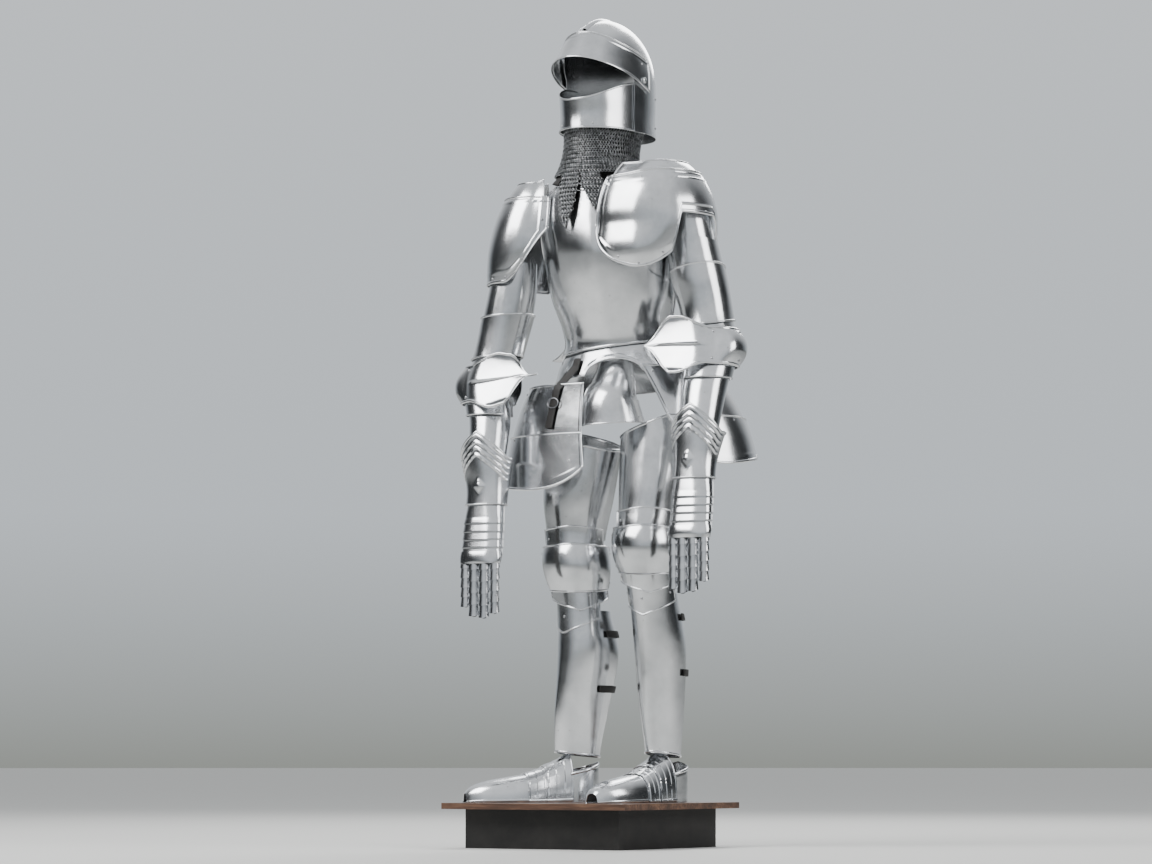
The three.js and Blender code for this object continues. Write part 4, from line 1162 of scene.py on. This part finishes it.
def make_mail():
    """Rows of linked rings over a dark backing that hangs as one collar."""
    at = form(NECK)
    # a near-black sheet under the rings: painted shade where the collar is dark behind them
    plate("mail_shade_sheet", at, {
        "ring": True, "from": -175, "to": 185, "cols": 164, "rows": 20, "shade_sheet": True, "finish": "mail_shade",
        "slot": "mail", "node": "mail_collar", "top": lambda t: 1590 + 0 * t, "low": mail_edge,
    })
    verts, faces = shape_of(lambda: bpy.ops.mesh.primitive_torus_add(
        major_segments=8, minor_segments=4,
        major_radius=sizes().ring_radius / MM, minor_radius=sizes().ring_wire / MM))
    places = []
    for row in range(54):
        h = 1587 - 5.2 * row
        loop = at(np.radians(np.linspace(0, 360, 73)), h + np.zeros(73), 0.0)
        count = int(np.linalg.norm(np.diff(loop, axis=0), axis=1).sum() / 6.9)
        turn = -math.pi + 2 * math.pi * (np.arange(count) + 0.5 * (row % 2)) / count
        turn = turn[h > mail_edge(turn) + 1.0]
        if not len(turn):
            continue
        spots = at(turn, h + 0 * turn, 2.4)
        normals = spots - at(turn, h + 0 * turn, 0.0)
        normals /= np.linalg.norm(normals, axis=1, keepdims=True)
        lean = 0.62 if row % 2 else -0.62
        for p, n in zip(spots, normals):
            leant = n + lean * np.cross((0, 0, 1), n)
            places.append((p, axes_from(leant / np.linalg.norm(leant), (0, 0, 1)), 1.0))
    rings = stamp_mesh("mail_rings", verts, faces, places)
    dress(rings, "mail_rings", "mail", "mail", angle=60)


def make_tasset_strap(side, s, torso, hips):
    """A strap from the skirt down over the tasset, with its buckle."""
    angle, tilt = {"right": (-34, -34), "left": (48, 6)}[side]
    on_skirt, on_tasset = np.radians(np.full(5, angle)), np.radians(np.full(14, angle))
    high, low = np.linspace(1034, 1012, 5), np.linspace(994, 900, 14) + tilt
    a = torso(on_skirt, high + s * 3, 1.0)
    b = hips(on_tasset, low, 5.0)
    out = np.concatenate([a - torso(on_skirt, high, -9.0), b - hips(on_tasset, low, 0.0)])
    strap(f"tasset_strap_{side}", np.concatenate([a, b]), out, 20)
    mid, n = b[5], out[10] / np.linalg.norm(out[10])
    axes = axes_from(n, (0, 0, 1))
    ring = [mid + n * 3 + axes[:, 0] * 15 * math.cos(k) + axes[:, 1] * 12 * math.sin(k)
            for k in np.linspace(0, 2 * math.pi, 20, endpoint=False)]
    loop_of_wire(f"tasset_buckle_{side}", ring, 1.5, "rivet")


def make_straps():
    """Straps over the shoulders, on the tassets and behind the greaves."""
    torso, hips = form(TORSO, 60), form(HIPS)
    for side, s in (("right", -1), ("left", 1)):
        th = np.radians(s * np.linspace(36, 150, 24))
        h = 1446 + 10 * np.sin(np.linspace(0, math.pi, 24))
        pts = torso(th, h, 5.0)
        strap(f"shoulder_strap_{side}", pts, pts - torso(th, h, 0.0), 22)
        make_tasset_strap(side, s, torso, hips)
        shin = form(SHIN[side])
        up = LEFT_KNEE if side == "left" else 0
        th = np.radians(np.linspace(100, 260, 26))
        for k, height in enumerate((262 + up, 392 + up)):
            pts = shin(th, height, -1.5)
            strap(f"greave_strap_{side}_{k + 1}", pts, pts - shin(th, height, -9.0), 16)


def dress_base():
    """The board and plinth keep their solids and get eased edges and a finish."""
    for name, finish, ease in (("base_board", "board", 2.5), ("base_plinth", "plinth", 2.0)):
        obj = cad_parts[name]
        obj.data.materials.clear()
        obj.data.materials.append(finish_named(finish))
        mod = obj.modifiers.new("eased_edges", "BEVEL")
        mod.width = ease * MM
        mod.segments = 3
        mod.limit_method = "ANGLE"


def make_world(turn):
    """A pale sky over a dull ground, darker to the left and right of the view."""
    world = bpy.data.worlds.new("soft_studio")
    bpy.context.scene.world = world
    world.use_nodes = True
    tree = world.node_tree
    tree.nodes.clear()
    way = add_node(tree, "ShaderNodeTexCoord").outputs["Generated"]
    up_down = add_node(tree, "ShaderNodeSeparateXYZ", {"Vector": way}).outputs["Z"]
    height = add_node(tree, "ShaderNodeMapRange", {"Value": up_down})
    height.inputs["From Min"].default_value = -1.0
    stops = [(0.0, "#6f7065"), (0.49, "#83857a"), (0.53, "#cfd6dc"), (0.72, "#f4f7fa")]
    sky = ramp(tree, height.outputs["Result"], stops)
    side = add_node(tree, "ShaderNodeVectorMath", {0: way}, operation="DOT_PRODUCT")
    side.inputs[1].default_value = (math.cos(turn), math.sin(turn), 0)
    side = side.outputs["Value"]
    squared = add_node(tree, "ShaderNodeMath", {0: side, 1: side}, operation="MULTIPLY")
    shade = ramp(tree, squared.outputs[0], [(0.15, "#ffffff"), (0.75, "#3b3c3d")])
    mixed = add_node(tree, "ShaderNodeMix", data_type="RGBA", blend_type="MULTIPLY")
    mixed.inputs["Factor"].default_value = 1.0
    tree.links.new(sky, mixed.inputs[6])
    tree.links.new(shade, mixed.inputs[7])
    back = add_node(tree, "ShaderNodeBackground", {"Color": mixed.outputs[2]}, Strength=1.0)
    add_node(tree, "ShaderNodeOutputWorld", {"Surface": back.outputs[0]})


def make_lights(turn, power):
    """Three soft lights. Each row: name, turn from the view, height, distance, size, watts."""
    centre = Vector((0, 0, 1.0))
    for name, around, up, far, size, watts in (
        ("key_light", -58, 42, 4.2, 2.6, 210),
        ("fill_light", 62, 22, 4.6, 2.2, 90),
        ("rear_light", 168, 38, 4.4, 2.4, 150),
    ):
        a, e = turn + rad(around), rad(up)
        way = Vector((math.sin(a) * math.cos(e), -math.cos(a) * math.cos(e), math.sin(e)))
        bpy.ops.object.light_add(type="AREA", location=way * far + centre)
        lamp = bpy.context.object
        lamp.name = name
        lamp.data.size = size
        lamp.data.energy = watts * power
        lamp.rotation_euler = (-way).to_track_quat("-Z", "Y").to_euler()


def make_camera(turn):
    """The camera looks slightly up from knee height."""
    far, height, pitch = 9.0, 107 + LIFT, 4.8
    bpy.ops.object.camera_add(
        location=(far * math.sin(turn), -far * math.cos(turn), height * MM),
        rotation=(rad(90 + pitch), 0, turn),
    )
    camera = bpy.context.object
    camera.name = "camera"
    camera.data.lens = 120.6
    camera.data.sensor_width = 36.0
    camera.data.shift_x = -0.01345
    camera.data.clip_end = 200
    bpy.context.scene.camera = camera


def make_stage():
    """Floor, lights, world and camera."""
    bpy.ops.object.select_all(action="DESELECT")
    bpy.ops.mesh.primitive_circle_add(vertices=96, radius=60, fill_type="NGON")
    floor = bpy.context.object
    floor.name = "studio_floor"
    floor.data.materials.append(finish_named("paper"))
    make_lights(sizes().view_turn, sizes().light_power)
    make_world(sizes().view_turn)
    make_camera(sizes().view_turn)


# ---- the add-on ---------------------------------------------------------------------
def length_value(name, text, default):
    """A length property, in metres."""
    return bpy.props.FloatProperty(
        name=name, description=text, default=default, min=0.0, precision=4,
        unit="LENGTH", subtype="DISTANCE")


def colour_value(name, text, hex_colour):
    """A colour property."""
    return bpy.props.FloatVectorProperty(
        name=name, description=text, default=linear(hex_colour), size=4, min=0.0, max=1.0,
        subtype="COLOR")


class SuitSizes(bpy.types.PropertyGroup):
    """Sizes that a user would change"""

    plate_wall: length_value("Plate", "Thickness of the steel plates", 1.4 * MM)
    thin_wall: length_value("Gauntlet plate", "Thickness of the gauntlets' plates", 1.2 * MM)
    ring_radius: length_value("Mail ring", "Radius of a ring to the middle of its wire", 4.3 * MM)
    ring_wire: length_value("Mail wire", "Radius of the rings' wire", 0.8 * MM)
    strap_thickness: length_value("Strap", "Thickness of the leather straps", 2.4 * MM)
    rivet_scale: bpy.props.FloatProperty(
        name="Rivets", description="Scale of all rivet heads", default=1.0, min=0.1, subtype="FACTOR")
    view_turn: bpy.props.FloatProperty(
        name="View turn", description="Turn of the camera round the suit", default=rad(33.0),
        unit="ROTATION", subtype="ANGLE")
    light_power: bpy.props.FloatProperty(
        name="Light", description="Scale of the studio lights' power", default=1.0, min=0.0,
        subtype="FACTOR")


class SuitColours(bpy.types.PropertyGroup):
    """Colours that a user would change"""

    steel_dark: colour_value("Steel, dull", "Plates where the polish is dullest", "#c6c8ca")
    steel_light: colour_value("Steel, bright", "Plates where the polish is brightest", "#dddee0")
    rivet_dark: colour_value("Rivets, dull", "Rivet heads where they are dullest", "#85868a")
    rivet_light: colour_value("Rivets, bright", "Rivet heads where they are brightest", "#c2c3c5")
    wire_dark: colour_value("Mail, grimy", "Rings where oil and dirt sit", "#6a6b6c")
    wire_light: colour_value("Mail, worn", "Rings where they are worn bright", "#b4b6b8")
    leather_dark: colour_value("Leather, deep", "Gloves and straps in the grain", "#0b0a09")
    leather_light: colour_value("Leather, worn", "Gloves and straps on the crests", "#1d1a18")
    board_stain: colour_value("Board", "Middle tone of the board's stain", "#54392a")
    plinth_paint: colour_value("Plinth", "Paint of the box under the board", "#141312")
    paper: colour_value("Floor", "Studio paper", "#c9c9c6")


GROUPS = {"suit_sizes": SuitSizes, "suit_colours": SuitColours}


def operator(name, label, text, work):
    """One operator class for a piece or a group of like pieces."""

    def execute(self, context):
        work()
        return {"FINISHED"}

    return type("ARMOUR_OT_" + name, (bpy.types.Operator,), {
        "bl_idname": "armour." + name, "bl_label": label, "__doc__": text, "execute": execute})


def both(work):
    """The same work for the right and the left side."""
    return lambda: [work(side) for side in ("right", "left")]


OPERATORS = [
    operator("torso", "Torso", "Breastplate, backplate and skirts", make_torso),
    operator("brayette", "Brayette", "Three lames over the fork", make_brayette),
    operator("tassets", "Tassets", "Hanging thigh guards", make_tassets),
    operator("legs", "Legs", "Cuisses, poleyns and greaves", both(make_leg)),
    operator("sabatons", "Sabatons", "Plate shoes", both(make_sabaton)),
    operator("helmet", "Helmet", "Skull, visor and bevor", make_helmet),
    operator("shoulders", "Shoulders", "Pauldrons and their lames", make_shoulders),
    operator("arms", "Arms", "Arm plates, gauntlets and gloves", both(make_arm)),
    operator("mail", "Mail", "Mail collar of joined rings", make_mail),
    operator("straps", "Straps", "Leather straps and buckles", make_straps),
    operator("base", "Base", "Finish of the board and plinth", dress_base),
    operator("stage", "Stage", "Floor, lights, world and camera", make_stage),
]


class ARMOUR_PT_panel(bpy.types.Panel):
    """Lists the values and the pieces in the sidebar"""

    bl_label = "Armour"
    bl_idname = "ARMOUR_PT_panel"
    bl_space_type = "VIEW_3D"
    bl_region_type = "UI"
    bl_category = "Armour"

    def draw(self, context):
        """The values of both groups, then a button for each piece."""
        for key, group in GROUPS.items():
            for value in group.__annotations__:
                self.layout.prop(getattr(context.scene, key), value)
        for kind in OPERATORS:
            self.layout.operator(kind.bl_idname)


def register():
    """Adds the classes and puts their values on the scene."""
    for kind in (*GROUPS.values(), ARMOUR_PT_panel, *OPERATORS):
        bpy.utils.register_class(kind)
    for key, group in GROUPS.items():
        setattr(bpy.types.Scene, key, bpy.props.PointerProperty(type=group))


def unregister():
    """Takes the values and classes away again."""
    for key in GROUPS:
        delattr(bpy.types.Scene, key)
    for kind in (*OPERATORS, ARMOUR_PT_panel, *GROUPS.values()):
        bpy.utils.unregister_class(kind)


def main():
    """Makes every piece in order and writes the size of the result."""
    register()
    for kind in OPERATORS:
        getattr(bpy.ops.armour, kind.bl_idname.split(".")[1])()


if __name__ == "__main__":
    main()
